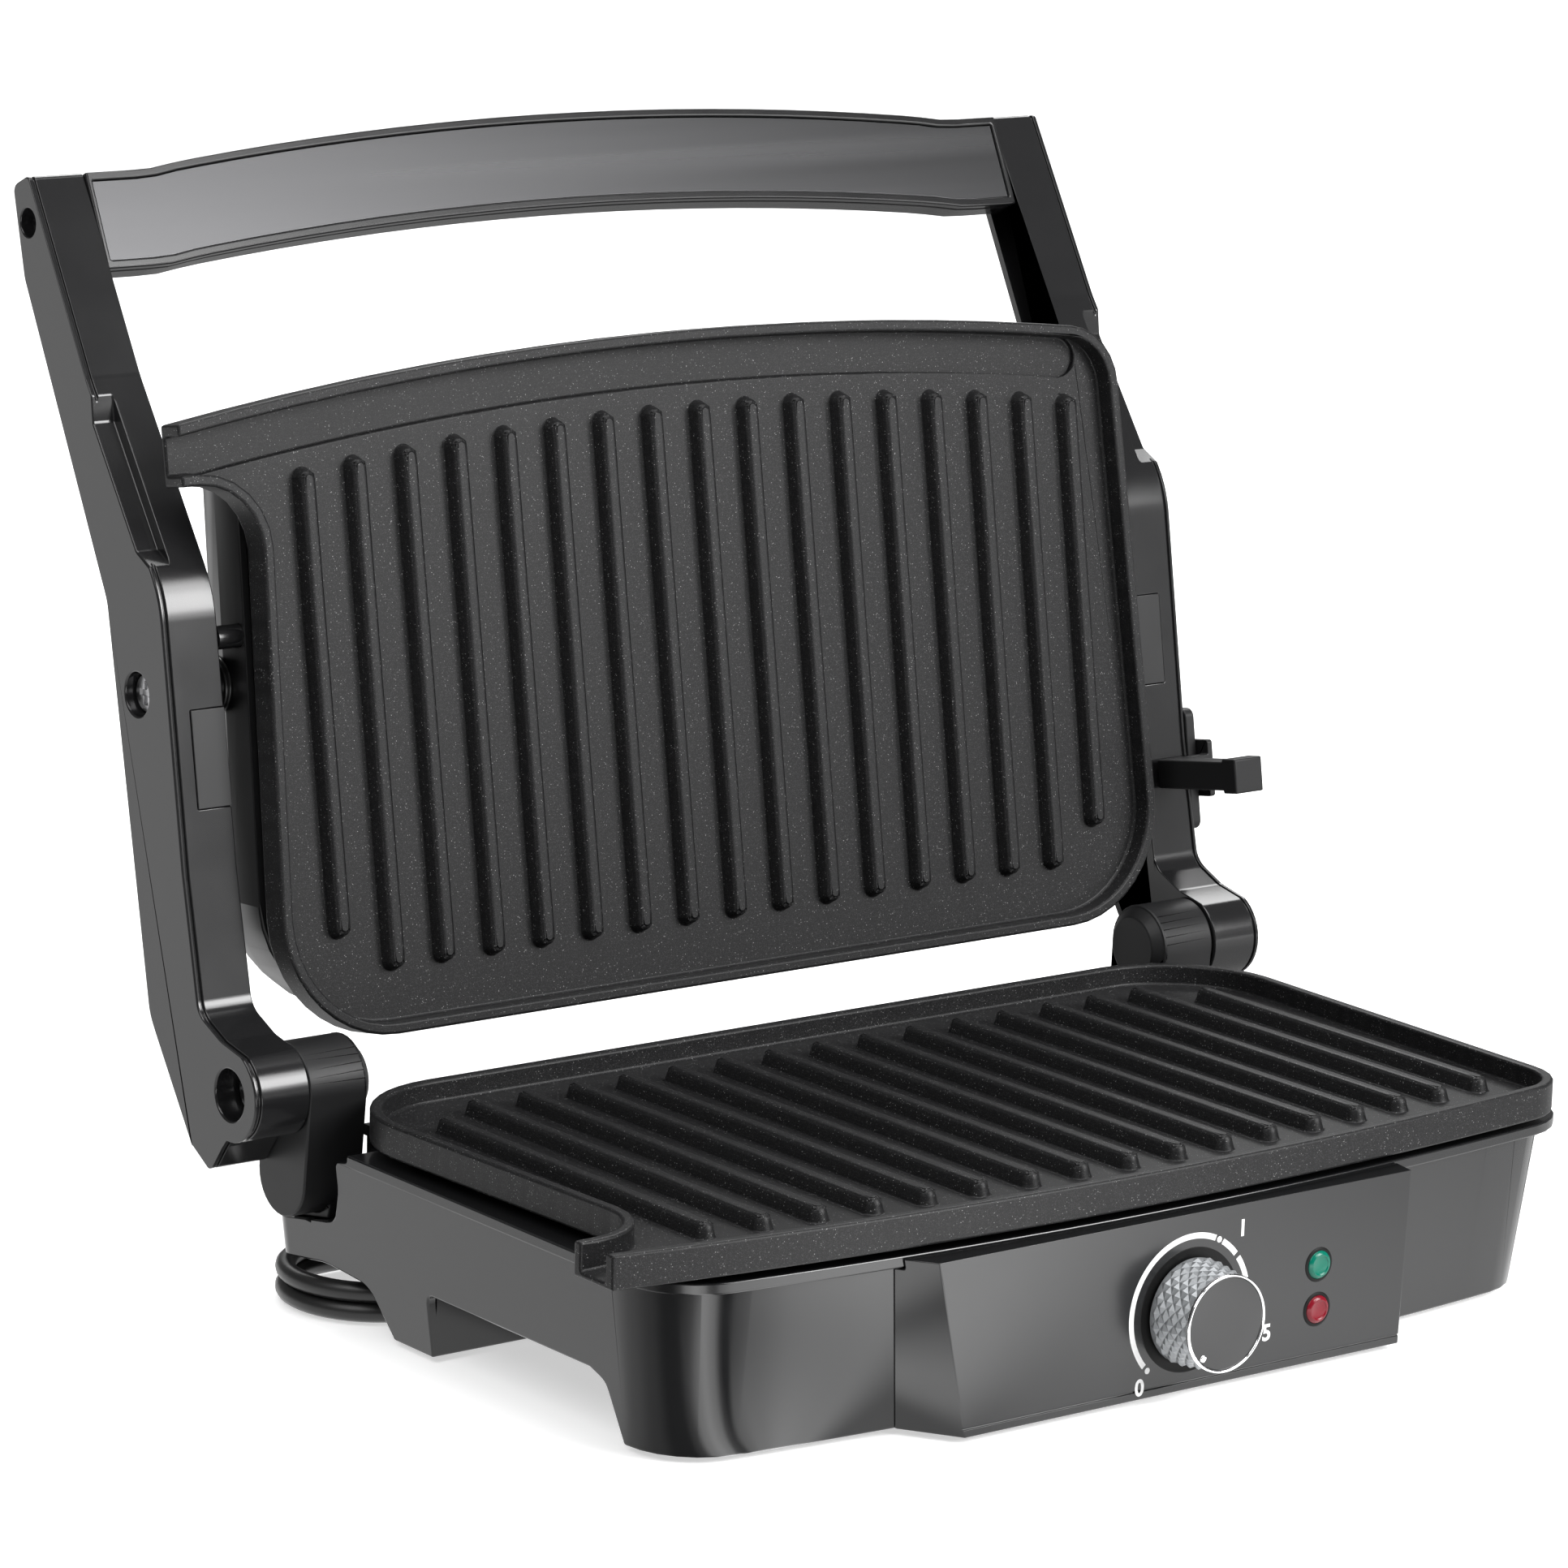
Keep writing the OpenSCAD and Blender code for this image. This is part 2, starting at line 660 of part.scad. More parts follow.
// Holes for the screws that hold the posts
module post_screw_holes() {
    both() for (dy = [-post_screw_dy, post_screw_dy]) translate([post_screw_x, dy, 10])
        cylinder(r = 1.5, h = 22, $fn = 24);
}

module hinge_post(s) {
    color(black) on_side(s) difference() {
        union() {
            // Barrel with a chamfered inner end
            axle(post_in + 3, post_out, 0, hinge_z, post_r);
            translate([post_in, 0, hinge_z]) rotate([0, 90, 0])
                cylinder(r1 = post_r - 3, r2 = post_r, h = 3, $fn = 64);
            // Web and cheek down to the lower round
            side(pocket_x + 5.5, post_out) polygon(concat(
                arc([0, hinge_z], post_r - 0.01, 0, 180, 16),
                arc([-1.5, 36], 10.5, 180, 360, 16)));
            side(pocket_x + 2, body_hw - 0.2)
                polygon([[-10, seat_z(-10)], [6, seat_z(6)], [8, 40], [-11, 40]]);
        }
        // The bore is blind: the post's inner end is closed
        axle(post_in + 3, post_out + 5, 0, hinge_z, hinge_pin_r);
        post_screw_holes();
    }
}

module left_hinge_post() {
    hinge_post(-1);
}

module right_hinge_post() {
    hinge_post(1);
}

// Depth and radius of the round recess over each hinge screw
recess = 10.6;
recess_r = 6.6;

// Shoulder screws: the head lies at the bottom of the arm's outer recess
module hinge_screws() {
    color(steel) both() difference() {
        union() {
            axle(post_in + 3, arm_out - recess + 0.1, 0, hinge_z, hinge_pin_r);
            axle(arm_out - recess, arm_out - recess + 3.4, 0, hinge_z, 6);
        }
        axle(arm_out - recess + 1.6, arm_out, 0, hinge_z, 1.8);
    }
}

// ---------- cord ----------

cord_r = cord_d / 2;
coil_r = 23.5;
coil_x0 = -119.5;
coil_x1 = 35.5;
coil_z0 = 0.6;
// Two turns lie on each other
upper_turn_z = coil_z0 + 1.5 * cord_d;
lower_turn_z = coil_z0 + 0.5 * cord_d;

module racetrack(r) {
    translate([coil_x0, 0]) circle(r = r, $fn = 96);
    translate([coil_x1, 0]) circle(r = r, $fn = 96);
    translate([coil_x0, -r]) square([coil_x1 - coil_x0, 2 * r]);
}

module cord_coil() {
    color(black) translate([0, 0, coil_z0]) linear_extrude(2 * cord_d) difference() {
        racetrack(coil_r + cord_r);
        racetrack(coil_r - cord_r);
    }
}

// Route of the two free ends, chosen by hand
lead_in = [[gland_x - 25, -20, 9.5], [80, -21, 9.3], [62, -23, 8.7], [46, -coil_r, upper_turn_z],
           [32, -coil_r, upper_turn_z]];
lead_out = [[32, coil_r, lower_turn_z], [44, coil_r, lower_turn_z], [56, 23.8, 4.1], [67, 24, 5.8], [76, 24, 6.3]];

function unit(v) = v / norm(v);

// Direction of the route at point i
function heading(p, i) = unit(p[min(i + 1, len(p) - 1)] - p[max(i - 1, 0)]);

// Ring of k points round point i of the route
function ring(p, i, r, k) =
    let (d = heading(p, i), u = unit(cross([0, 0, 1], d)), w = cross(d, u))
    [for (j = [0:k - 1]) p[i] + r * (cos(360 * j / k) * u + sin(360 * j / k) * w)];

// Catmull-Rom points along the route, m per span
function smooth(p, m) =
    concat([for (i = [0:len(p) - 2]) for (j = [0:m - 1])
        let (t = j / m, a = p[max(i - 1, 0)], b = p[i], c = p[i + 1], d = p[min(i + 2, len(p) - 1)])
        0.5 * (2 * b + (c - a) * t + (2 * a - 5 * b + 4 * c - d) * t * t
               + (3 * b - a - 3 * c + d) * t * t * t)], [p[len(p) - 1]]);

module tube(route, r, k = 10) {
    p = smooth(route, 2);
    n = len(p);
    points = [for (i = [0:n - 1]) each ring(p, i, r, k)];
    walls = [for (i = [0:n - 2]) for (j = [0:k - 1])
        [i * k + j, (i + 1) * k + j, (i + 1) * k + (j + 1) % k, i * k + (j + 1) % k]];
    polyhedron(points, concat(walls, [[for (j = [0:k - 1]) j]],
        [[for (j = [k - 1:-1:0]) (n - 1) * k + j]]), convexity = 4);
}

module cord() {
    color(black) {
        tube(lead_in, cord_r);
        tube(lead_out, cord_r);
    }
}

module cord_gland() {
    color(black) difference() {
        block([gland_x, -28, 4], [gland_x + 10, -12, cover_z]);
        translate([gland_x - 1, -20, 9.5]) rotate([0, 90, 0]) cylinder(r = 3.6, h = 8, $fn = 32);
    }
}

// Tapered boot that guards the cord where it leaves the gland
module strain_relief() {
    color(black) {
        translate([gland_x - 25, -20, 9.5]) rotate([0, 90, 0]) cylinder(r1 = 3.2, r2 = 4.6, h = 25, $fn = 48);
        translate([gland_x - 0.1, -20, 9.5]) rotate([0, 90, 0]) cylinder(r = 3.6, h = 6, $fn = 48);
    }
}

module plug() {
    color(black) {
        translate([76, 24, 6.3]) rotate([0, 90, 0]) cylinder(r1 = 3.2, r2 = 4.4, h = 12, $fn = 48);
        translate([87.9, 24, 6.3]) rotate([90, 0, 90]) linear_extrude(22)
            polygon(rounded([[-9, -6, 3], [9, -6, 3], [9, 6, 3], [-9, 6, 3]]));
        for (s = [-1, 1]) block([109.8, 24 + s * 6.35 - 0.75, 3.1], [127, 24 + s * 6.35 + 0.75, 9.5]);
    }
}

// ---------- arms ----------

// Side outline of an arm: barrel, heel, straight run along the plate and the rise to the handle
arm_outline = rounded(concat(
    [[230.5, 60.6, 1.5], [228.3, 68.5, 2.5], [204.8, 66.7, 14], [122.7, 39.4, 14],
     [18.3, 35.2, 14], [-13.5, 20.2, 5], [-20, 12.2, 2], [-13.6, 5.6, 3]],
    [for (p = arc([0, 0], barrel_r, 165, 325, 18)) [p.x, p.y, 0]],
    [[13.2, 2, 5], [19.5, 11.6, 7], [54, 13.6, 0], [124, 13.9, 30], [178.7, 40.6, 20]]));

// Channel on the arm's inner side: it ends above the barrel
arm_channel = rounded([for (p = inset([
    [230.5, 60.6], [228.3, 68.5], [204.8, 66.7], [122.7, 39.4], [18.3, 35.2], [-8, 23],
    [4, 16], [22, 12.2], [54, 13.6], [124, 13.9], [178.7, 40.6]], arm_wall)) [p.x, p.y, 2]]);

// Handle frame in the closed lid: lower front corner and tilt of its face
handle_a = 205.7;
handle_h = 52;
handle_tilt = 16.2;

// Where the handle's screws sit, along its face and behind it
screw_w = 15.4;
screw_t = 6.4;
screw_a = handle_a + screw_w * cos(handle_tilt) - screw_t * sin(handle_tilt);
screw_h = handle_h + screw_w * sin(handle_tilt) + screw_t * cos(handle_tilt);

// Parting line round each arm: its place, width and depth
seam_x = arm_out - 1.5;
seam_w = 0.7;
seam_depth = 0.7;

// Slot in the outer front edge, drawn along the rise to the handle
slot_from = [124, 13.9];
slot_to = [178.7, 40.6];
slot_u = (slot_to - slot_from) / norm(slot_to - slot_from);
slot_w = 6.2;
slot_depth = 3.2;

// Point at distance s along the rise and d into the arm
function slot_point(s, d) = slot_from + s * slot_u + d * [-slot_u.y, slot_u.x];

// Slot outline: sloping ends from s0 to s1, d deep
function slot_profile(s0, s1, d) =
    [slot_point(s0 - 2, -2), slot_point(s0, 0), slot_point(s0 + 6, d), slot_point(s1 - 6, d),
     slot_point(s1, 0), slot_point(s1 + 2, -2)];

module arm(s) {
    color(body_color) on_side(s) in_lid() difference() {
        union() {
            side(seam_x + seam_w / 2, arm_out) polygon(arm_outline);
            side(seam_x - seam_w / 2 - 0.1, seam_x + seam_w / 2 + 0.1) polygon(inset(arm_outline, seam_depth));
            side(arm_out - arm_wall - 0.3, seam_x - seam_w / 2) polygon(arm_outline);
            // Floor of the slot
            side(arm_out - slot_w - arm_wall, arm_out - arm_wall) intersection() {
                polygon(arm_outline);
                polygon(slot_profile(5, 58, slot_depth + arm_wall));
            }
            side(arm_in, arm_out - arm_wall) difference() {
                polygon(arm_outline);
                difference() {
                    polygon(arm_channel);
                    translate([pivot_a, pivot_h]) circle(r = 8, $fn = 48);
                    translate([screw_a, screw_h]) circle(r = 5.4, $fn = 48);
                    // Ribs across the channel
                    for (a = [40, 72, 132]) translate([a, 0]) square([1.8, 100]);
                }
            }
        }
        axle(arm_in - 5, arm_out + 5, 0, 0, hinge_pin_r + running);
        axle(arm_out - recess - 0.2, arm_out + 5, 0, 0, recess_r);
        axle(arm_in - 5, arm_out + 5, pivot_a, pivot_h, pivot_r);
        axle(arm_out - 6, arm_out + 5, pivot_a, pivot_h, 5.6);
        axle(arm_in - 5, arm_out + 5, screw_a, screw_h, 1.7);
        axle(arm_out - 8, arm_out + 5, screw_a, screw_h, 3.7);
        side(arm_out - slot_w, arm_out + 1) polygon(slot_profile(8, 56, slot_depth));
        // Recess of the pad on the front
        block([arm_in - 1, -95, 12], [arm_in + 10, -70, 14.4]);
    }
}

module left_arm() {
    arm(-1);
}

module right_arm() {
    arm(1);
}

module arm_pads() {
    color("#5a5b5e") both() in_lid() block([arm_in, -94.9, 13.5], [arm_in + 9.9, -70.1, 14.4]);
}

// ---------- handle ----------

function smoothstep(t) = let (s = max(0, min(1, t))) s * s * (3 - 2 * s);

// Rise of the arch at x: flat at both ends, then a parabola
function arch(x) =
    let (reach = arm_in - 15, s = min(1, abs(x) / reach))
    handle_rise * (1 - s * s) * smoothstep((reach - abs(x)) / 16 + 0.15);

// Face outline of the handle inset by d, its ends at x = end
function handle_face(d, end) =
    let (n = 46)
    concat(
        [for (i = [0:n]) let (x = -end + 2 * end * i / n) [x, d + arch(x)]],
        [for (i = [n:-1:0]) let (x = -end + 2 * end * i / n) [x, handle_w - d + arch(x)]]);

// Handle coordinates (x, along the face, behind the face) to the lid
module in_handle() {
    in_lid() translate([0, -handle_a, handle_h]) rotate([-handle_tilt, 0, 0])
        mirror([0, 1, 0]) children();
}

module handle_back() {
    color(body_color) in_handle() difference() {
        translate([0, 0, bezel_t]) linear_extrude(handle_t - bezel_t) polygon(handle_face(0, arm_in));
        for (s = [-1, 1]) translate([s * arm_in - 14, screw_w, screw_t])
            rotate([0, 90, 0]) cylinder(r = 1.5, h = 28, $fn = 24);
    }
}

module handle_bezel() {
    color(body_color) in_handle() linear_extrude(bezel_t) difference() {
        polygon(handle_face(0, arm_in));
        polygon(handle_face(handle_lip, arm_in - 1.5));
    }
}

module handle_insert() {
    color("#8d9094") in_handle() translate([0, 0, 0.8]) linear_extrude(bezel_t - 0.8)
        polygon(handle_face(handle_lip, arm_in - 1.5));
}

module handle_screws() {
    color(steel) both() in_lid() {
        axle(arm_in - 14, arm_out - 7.9, screw_a, screw_h, 1.5);
        axle(arm_out - 8, arm_out - 5.6, screw_a, screw_h, 3.3);
    }
}

// ---------- lid head ----------

// Cover volume inset by d: walls that draw in towards a crowned top
module cover_solid(d) {
    hull() for (s = [[lid_rim_h - d, 0], [25, 0.6], [33, 2.4], [37.5, 6], [lid_top - 0.6, 11], [lid_top, 18]])
        plan(min(s[0], lid_top - d), 0.01)
            polygon(tray(plate_hw - s[1] - d, 14 + s[1] + d, upper_front - 1 - s[1] - d, 30, 17,
                         plate_taper));
}

module lid_cover() {
    color(body_color) in_lid() difference() {
        union() {
            difference() {
                cover_solid(0);
                cover_solid(lid_wall);
            }
            both() axle(plate_hw - 9, plate_hw - 0.2, pivot_a, pivot_h, 7);
            // Spacers that carry the plate
            for (s = [-1, 1]) for (a = [40, 140]) translate([s * (plate_hw - 17), -a, lid_plate_h])
                cylinder(r = 4, h = lid_top - lid_plate_h - 1.4, $fn = 32);
        }
        both() axle(100, 200, pivot_a, pivot_h, pivot_r + running);
        both() axle(plate_hw - 20, 200, stop_a, stop_h, 3);
    }
}

// Distance and height of the stop pins from the hinge axis
stop_a = 112;
stop_h = lid_rim_h + 3.2;

module pivot_pins() {
    color(steel) both() in_lid() {
        axle(plate_hw - 8, arm_out - 5.9, pivot_a, pivot_h, pivot_r);
        axle(arm_out - 6, arm_out - 3.6, pivot_a, pivot_h, 5.2);
    }
}

module stop_pins() {
    color(black) both() in_lid() axle(plate_hw - 4, arm_in - 0.4, stop_a, stop_h, 3);
}

module upper_plate() {
    longer = upper_front - plate_front;
    color(plate_color) in_lid() translate([0, 0, lid_plate_h]) mirror([0, 0, 1]) {
        translate([0, -longer, 0]) grill_plate(plate_back - longer);
        shield_bosses();
    }
}

module upper_element() {
    color(steel) in_lid() heater(lid_plate_h + heater_r);
}

module upper_straps() {
    color(steel) in_lid() translate([0, 0, lid_plate_h]) mirror([0, 0, 1]) straps();
}

module upper_reflector() {
    color(steel) in_lid() translate([0, 0, lid_plate_h + reflector_gap]) mirror([0, 0, 1]) reflector(3);
}

// ---------- storage latch ----------

// Where the latch slides, and the thickness of the rail it slides on
latch_a = 45;
rail_t = 3.2;
latch_in = arm_in + 3.6;
latch_tip = -21;

module latch_track() {
    color(black) in_lid() side(arm_out, arm_out + rail_t)
        polygon(rounded([[latch_a - 17, 13, 2.5], [latch_a + 17, 13, 2.5], [latch_a + 17, 20, 2.5],
                         [latch_a - 17, 20, 2.5]]));
}

// Slider on the rail, with a bar across the arm's front and a hook at its end
module storage_latch() {
    slider_x = arm_out + rail_t + 0.3;
    color(black) in_lid() {
        side(slider_x, slider_x + 1.8)
            polygon(rounded([[latch_a - 8, 8.5, 1], [latch_a + 8, 8.5, 1], [latch_a + 8, 19.5, 2.5],
                             [latch_a - 8, 19.5, 2.5]]));
        block([latch_in, -latch_a - 4, 8.5], [slider_x + 0.1, -latch_a + 4, 11.9]);
        block([latch_in, -latch_a - 4, latch_tip], [latch_in + 8, -latch_a + 4, 8.6]);
        block([latch_in, -latch_a - 4.8, latch_tip], [latch_in + 10, -latch_a + 4.8, latch_tip + 5.5]);
    }
}

base_housing();
bottom_cover();
base_screws();
feet();
control_panel();
lower_plate();
lower_element();
lower_reflector();
element_straps();
thermostat();
thermostat_shaft();
knob_skirt();
knob_cap();
green_lamp();
red_lamp();
left_hinge_post();
right_hinge_post();
hinge_screws();
cord_gland();
strain_relief();
cord_coil();
cord();
plug();
left_arm();
right_arm();
arm_pads();
handle_back();
handle_bezel();
handle_insert();
handle_screws();
pivot_pins();
lid_cover();
upper_plate();
upper_element();
upper_reflector();
upper_straps();
stop_pins();
latch_track();
storage_latch();
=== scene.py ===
"""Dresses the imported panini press: camera, cord, rounded mouldings and castings, dial, knurled
knob, lamps and finishes.

Lengths are in metres unless a comment says mm. +X is the user's right, -Y the front and +Z up, and
the hinge axis is at Y 0.
"""
import json
import math

import bmesh
import bpy
import numpy as np
from mathutils import Matrix, Vector


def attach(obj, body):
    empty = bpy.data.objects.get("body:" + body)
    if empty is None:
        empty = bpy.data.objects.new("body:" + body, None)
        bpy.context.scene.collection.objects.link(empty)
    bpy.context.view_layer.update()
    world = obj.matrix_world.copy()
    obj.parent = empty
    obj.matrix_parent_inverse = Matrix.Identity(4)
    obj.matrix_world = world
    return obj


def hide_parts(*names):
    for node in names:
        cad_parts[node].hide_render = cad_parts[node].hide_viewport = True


MM = 0.001
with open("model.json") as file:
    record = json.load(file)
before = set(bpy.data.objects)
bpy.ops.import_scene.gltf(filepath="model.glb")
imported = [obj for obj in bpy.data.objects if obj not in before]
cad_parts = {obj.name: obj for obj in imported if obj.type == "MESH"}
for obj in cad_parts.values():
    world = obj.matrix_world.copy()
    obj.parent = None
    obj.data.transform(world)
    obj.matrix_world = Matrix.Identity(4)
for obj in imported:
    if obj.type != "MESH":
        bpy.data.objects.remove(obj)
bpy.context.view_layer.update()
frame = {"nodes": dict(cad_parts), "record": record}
record = frame["record"]
slot_of = {part["node"]: part["material_slot"] for part in record["subparts"]}
body_of = {node: body for body, nodes in record["behaviour"]["bodies"].items() for node in nodes}

# How far the lid stands open from closed, and the height of its hinge axis
LID_OPEN = math.radians(99.4)
HINGE_Z = 59.5 * MM


# ---------- camera and lights ----------

# Sensor width and focal length in mm; place; azimuth, elevation and roll in degrees
SENSOR, LENS = 36, 146.14
CAMERA_PLACE = (-0.9862, -1.2884, 0.4776)
CAMERA_TURN = (-37.607, 12.427, 1.533)

# Radiance of the white that the camera sees behind the press, and of the dark room that lights it
WHITE, DARK_ROOM = 1.05, 0.16

# Softboxes: azimuth from the front to the right, elevation, distance, width, height, radiance
SOFTBOXES = {
    "main": (26, 25, 1.7, 1.0, 0.95, 4.5),
    "core": (33, 24, 1.66, 0.72, 0.5, 13.0),
    "high": (21, 39, 1.64, 0.86, 0.34, 9.0),
    "low": (30, 5, 1.9, 1.6, 0.4, 0.5),
    "left": (-72, 46, 1.7, 1.0, 1.0, 3.6),
    "back": (150, 42, 1.7, 1.6, 0.8, 6.0),
    "top": (20, 80, 1.8, 1.3, 1.1, 5.0),
}
# Point that the softboxes face
LIT_POINT = Vector((0, -0.05, 0.13))

# Floor: half its side, its height a hair under the feet, the colour of its paper, and the round
# place in which it glows less for the camera (x, y, radius, strength)
FLOOR_HALF, FLOOR_Z, PAPER = 9, -0.1 * MM, 0.8
FLOOR_FADE = (0, 0, 2.4, -0.5)
# A bright and a dark pool that reflections find on the floor: x, y, radius and strength
FLOOR_POOLS = (
    (0.05, -0.24, 0.2, 1.0),
    (-0.1, -0.215, 0.075, -1.8),
)
# Strips of light about a floor point inside the housing's front left corner: its x and y, and the
# stops (azimuth in degrees, strength)
FLOOR_FAN = (-0.115, -0.145, (
    (-180, 1.3), (-135, 1.3), (-112, 0.9), (-92, 0.5), (-76, 0.1), (-64, 0.1), (-56, 0.6),
    (-46, 3.4), (-36, 4.6), (-26, 3.6), (-17, 1.0), (-11, 0.7), (-3, 2.4), (10, 3.3), (30, 4.2),
    (44, 3.8), (58, 1.5), (80, 1.3), (100, 0.9), (125, 0.4), (168, 0.4), (180, 1.3)))


def linked(name, data):
    """New object in the scene, with this data."""
    piece = bpy.data.objects.new(name, data)
    bpy.context.collection.objects.link(piece)
    return piece


def feed(tree, value, socket):
    """Gives a socket a plain number, or links another socket to it."""
    if isinstance(value, (int, float)):
        socket.default_value = value
    else:
        tree.links.new(value, socket)


def math_node(tree, operation, *values):
    """Output of a Math node whose inputs are sockets or plain numbers."""
    node = tree.nodes.new("ShaderNodeMath")
    node.operation = operation
    for value, socket in zip(values, node.inputs):
        feed(tree, value, socket)
    return node.outputs[0]


def aim(azimuth, elevation, roll):
    """Rotation matrix of a camera or lamp that looks back along the given direction.
    Its Z axis is (sin a cos e, -cos a cos e, sin e); its X axis is level, then turned by roll
    about Z."""
    a, e, r = (math.radians(x) for x in (azimuth, elevation, roll))
    back = Vector((math.sin(a) * math.cos(e), -math.cos(a) * math.cos(e), math.sin(e)))
    right = Vector((math.cos(a), math.sin(a), 0))
    up = back.cross(right)
    turned_right = right * math.cos(r) + up * math.sin(r)
    return Matrix((turned_right, back.cross(turned_right), back)).transposed()


def make_camera():
    """Long lens from the front left, a little above the press."""
    data = bpy.data.cameras.new("camera")
    data.sensor_width = SENSOR
    data.lens = LENS
    data.clip_start, data.clip_end = 0.05, 60
    camera = linked("camera", data)
    camera.matrix_world = Matrix.Translation(CAMERA_PLACE) @ aim(*CAMERA_TURN).to_4x4()
    bpy.context.scene.camera = camera


def softbox(name, azimuth, elevation, distance, width, height, radiance):
    """Rectangular lamp at a direction and distance from the lit point, facing it.
    Its power is radiance times pi times its area."""
    data = bpy.data.lights.new(name, "AREA")
    data.shape = "RECTANGLE"
    data.size, data.size_y = width, height
    data.energy = radiance * math.pi * width * height
    turn = aim(azimuth, elevation, 0)
    place_of_lamp = Matrix.Translation(LIT_POINT + turn.col[2] * distance)
    linked(name, data).matrix_world = place_of_lamp @ turn.to_4x4()


def pool(tree, where, x, y, radius, strength):
    """Round pool of light on the floor: strength at its middle, nothing beyond radius, and a
    smooth step between. A negative strength darkens."""
    away = tree.nodes.new("ShaderNodeVectorMath")
    away.operation = "DISTANCE"
    away.inputs[1].default_value = (x, y, 0)
    tree.links.new(where, away.inputs[0])
    fade = tree.nodes.new("ShaderNodeMapRange")
    fade.interpolation_type = "SMOOTHSTEP"
    for key, value in (("From Min", 0), ("From Max", radius), ("To Min", strength), ("To Max", 0)):
        fade.inputs[key].default_value = value
    tree.links.new(away.outputs["Value"], fade.inputs["Value"])
    return fade.outputs["Result"]


def fan(tree, where, x, y, stops):
    """Strength that depends on the azimuth about a floor point: -180 to 180 degrees run along a
    smooth ramp with the given stops, in shares of the strongest one."""
    split = tree.nodes.new("ShaderNodeSeparateXYZ")
    tree.links.new(where, split.inputs[0])
    across = math_node(tree, "SUBTRACT", split.outputs["X"], x)
    ahead = math_node(tree, "SUBTRACT", y, split.outputs["Y"])
    azimuth = math_node(tree, "ARCTAN2", across, ahead)
    ramp = tree.nodes.new("ShaderNodeValToRGB")
    ramp.color_ramp.interpolation = "EASE"
    peak = max(strength for _, strength in stops)
    elements = ramp.color_ramp.elements
    while len(elements) < len(stops):
        elements.new(0.5)
    for element, (angle, strength) in zip(elements, stops):
        element.position = (angle + 180) / 360
        element.color = (strength / peak,) * 3 + (1,)
    turn = math_node(tree, "MULTIPLY_ADD", azimuth, 1 / (2 * math.pi), 0.5)
    tree.links.new(turn, ramp.inputs["Fac"])
    return math_node(tree, "MULTIPLY", ramp.outputs["Color"], peak)


def make_floor():
    """White paper: it is lit like paper, glows a little for the camera, fades to white far away,
    and shows the pools and the fan in reflections instead."""
    mesh = bpy.data.meshes.new("floor")
    corners = [(x * FLOOR_HALF, y * FLOOR_HALF, FLOOR_Z)
               for x, y in ((-1, -1), (1, -1), (1, 1), (-1, 1))]
    mesh.from_pydata(corners, [], [(0, 1, 2, 3)])
    floor = linked("floor", mesh)
    material = bpy.data.materials.new("floor_paper")
    material.use_nodes = True
    tree = material.node_tree
    nodes, links = tree.nodes, tree.links
    nodes.clear()
    where = nodes.new("ShaderNodeTexCoord").outputs["Object"]
    path = nodes.new("ShaderNodeLightPath").outputs
    seen = math_node(tree, "ADD", pool(tree, where, *FLOOR_FADE), WHITE)
    shown = fan(tree, where, *FLOOR_FAN)
    for spot in FLOOR_POOLS:
        shown = math_node(tree, "ADD", pool(tree, where, *spot), shown)
    shown = math_node(tree, "MAXIMUM", shown, 0)
    glow = nodes.new("ShaderNodeEmission")
    strength = math_node(tree, "ADD", math_node(tree, "MULTIPLY", path["Is Camera Ray"], seen),
                         math_node(tree, "MULTIPLY", path["Is Glossy Ray"], shown))
    links.new(strength, glow.inputs["Strength"])
    paper = nodes.new("ShaderNodeBsdfDiffuse")
    plain = math_node(tree, "SUBTRACT", 1, path["Is Glossy Ray"])
    links.new(math_node(tree, "MULTIPLY", plain, PAPER), paper.inputs["Color"])
    both = nodes.new("ShaderNodeAddShader")
    links.new(paper.outputs[0], both.inputs[0])
    links.new(glow.outputs[0], both.inputs[1])
    links.new(both.outputs[0], nodes.new("ShaderNodeOutputMaterial").inputs[0])
    mesh.materials.append(material)


def make_studio():
    """Dark room that the camera sees as white, softboxes and a paper floor."""
    world = bpy.data.worlds.new("studio")
    world.use_nodes = True
    bpy.context.scene.world = world
    nodes, links = world.node_tree.nodes, world.node_tree.links
    nodes.clear()
    mix = nodes.new("ShaderNodeMixShader")
    links.new(nodes.new("ShaderNodeLightPath").outputs["Is Camera Ray"], mix.inputs[0])
    for strength, socket in zip((DARK_ROOM, WHITE), mix.inputs[1:]):
        background = nodes.new("ShaderNodeBackground")
        background.inputs["Color"].default_value = (1, 1, 1, 1)
        background.inputs["Strength"].default_value = strength
        links.new(background.outputs[0], socket)
    links.new(mix.outputs[0], nodes.new("ShaderNodeOutputWorld").inputs[0])
    for name, settings in SOFTBOXES.items():
        softbox(name, *settings)
    make_floor()


# ---------- finishes ----------

def skin_group(name, **inputs):
    """Empty shader group that takes a Vector and the named inputs, a colour for four numbers and a
    plain value for one, and puts out a colour, a roughness and a height."""
    group = bpy.data.node_groups.new(name, "ShaderNodeTree")
    group.interface.new_socket("Vector", in_out="INPUT", socket_type="NodeSocketVector")
    for key, value in inputs.items():
        kind = "NodeSocketFloat" if isinstance(value, float) else "NodeSocketColor"
        socket = group.interface.new_socket(key.replace("_", " "), in_out="INPUT", socket_type=kind)
        socket.default_value = value
    for key, kind in (("Color", "NodeSocketColor"), ("Roughness", "NodeSocketFloat"),
                      ("Height", "NodeSocketFloat")):
        group.interface.new_socket(key, in_out="OUTPUT", socket_type=kind)
    return group, group.nodes.new("NodeGroupInput").outputs, group.nodes.new("NodeGroupOutput")


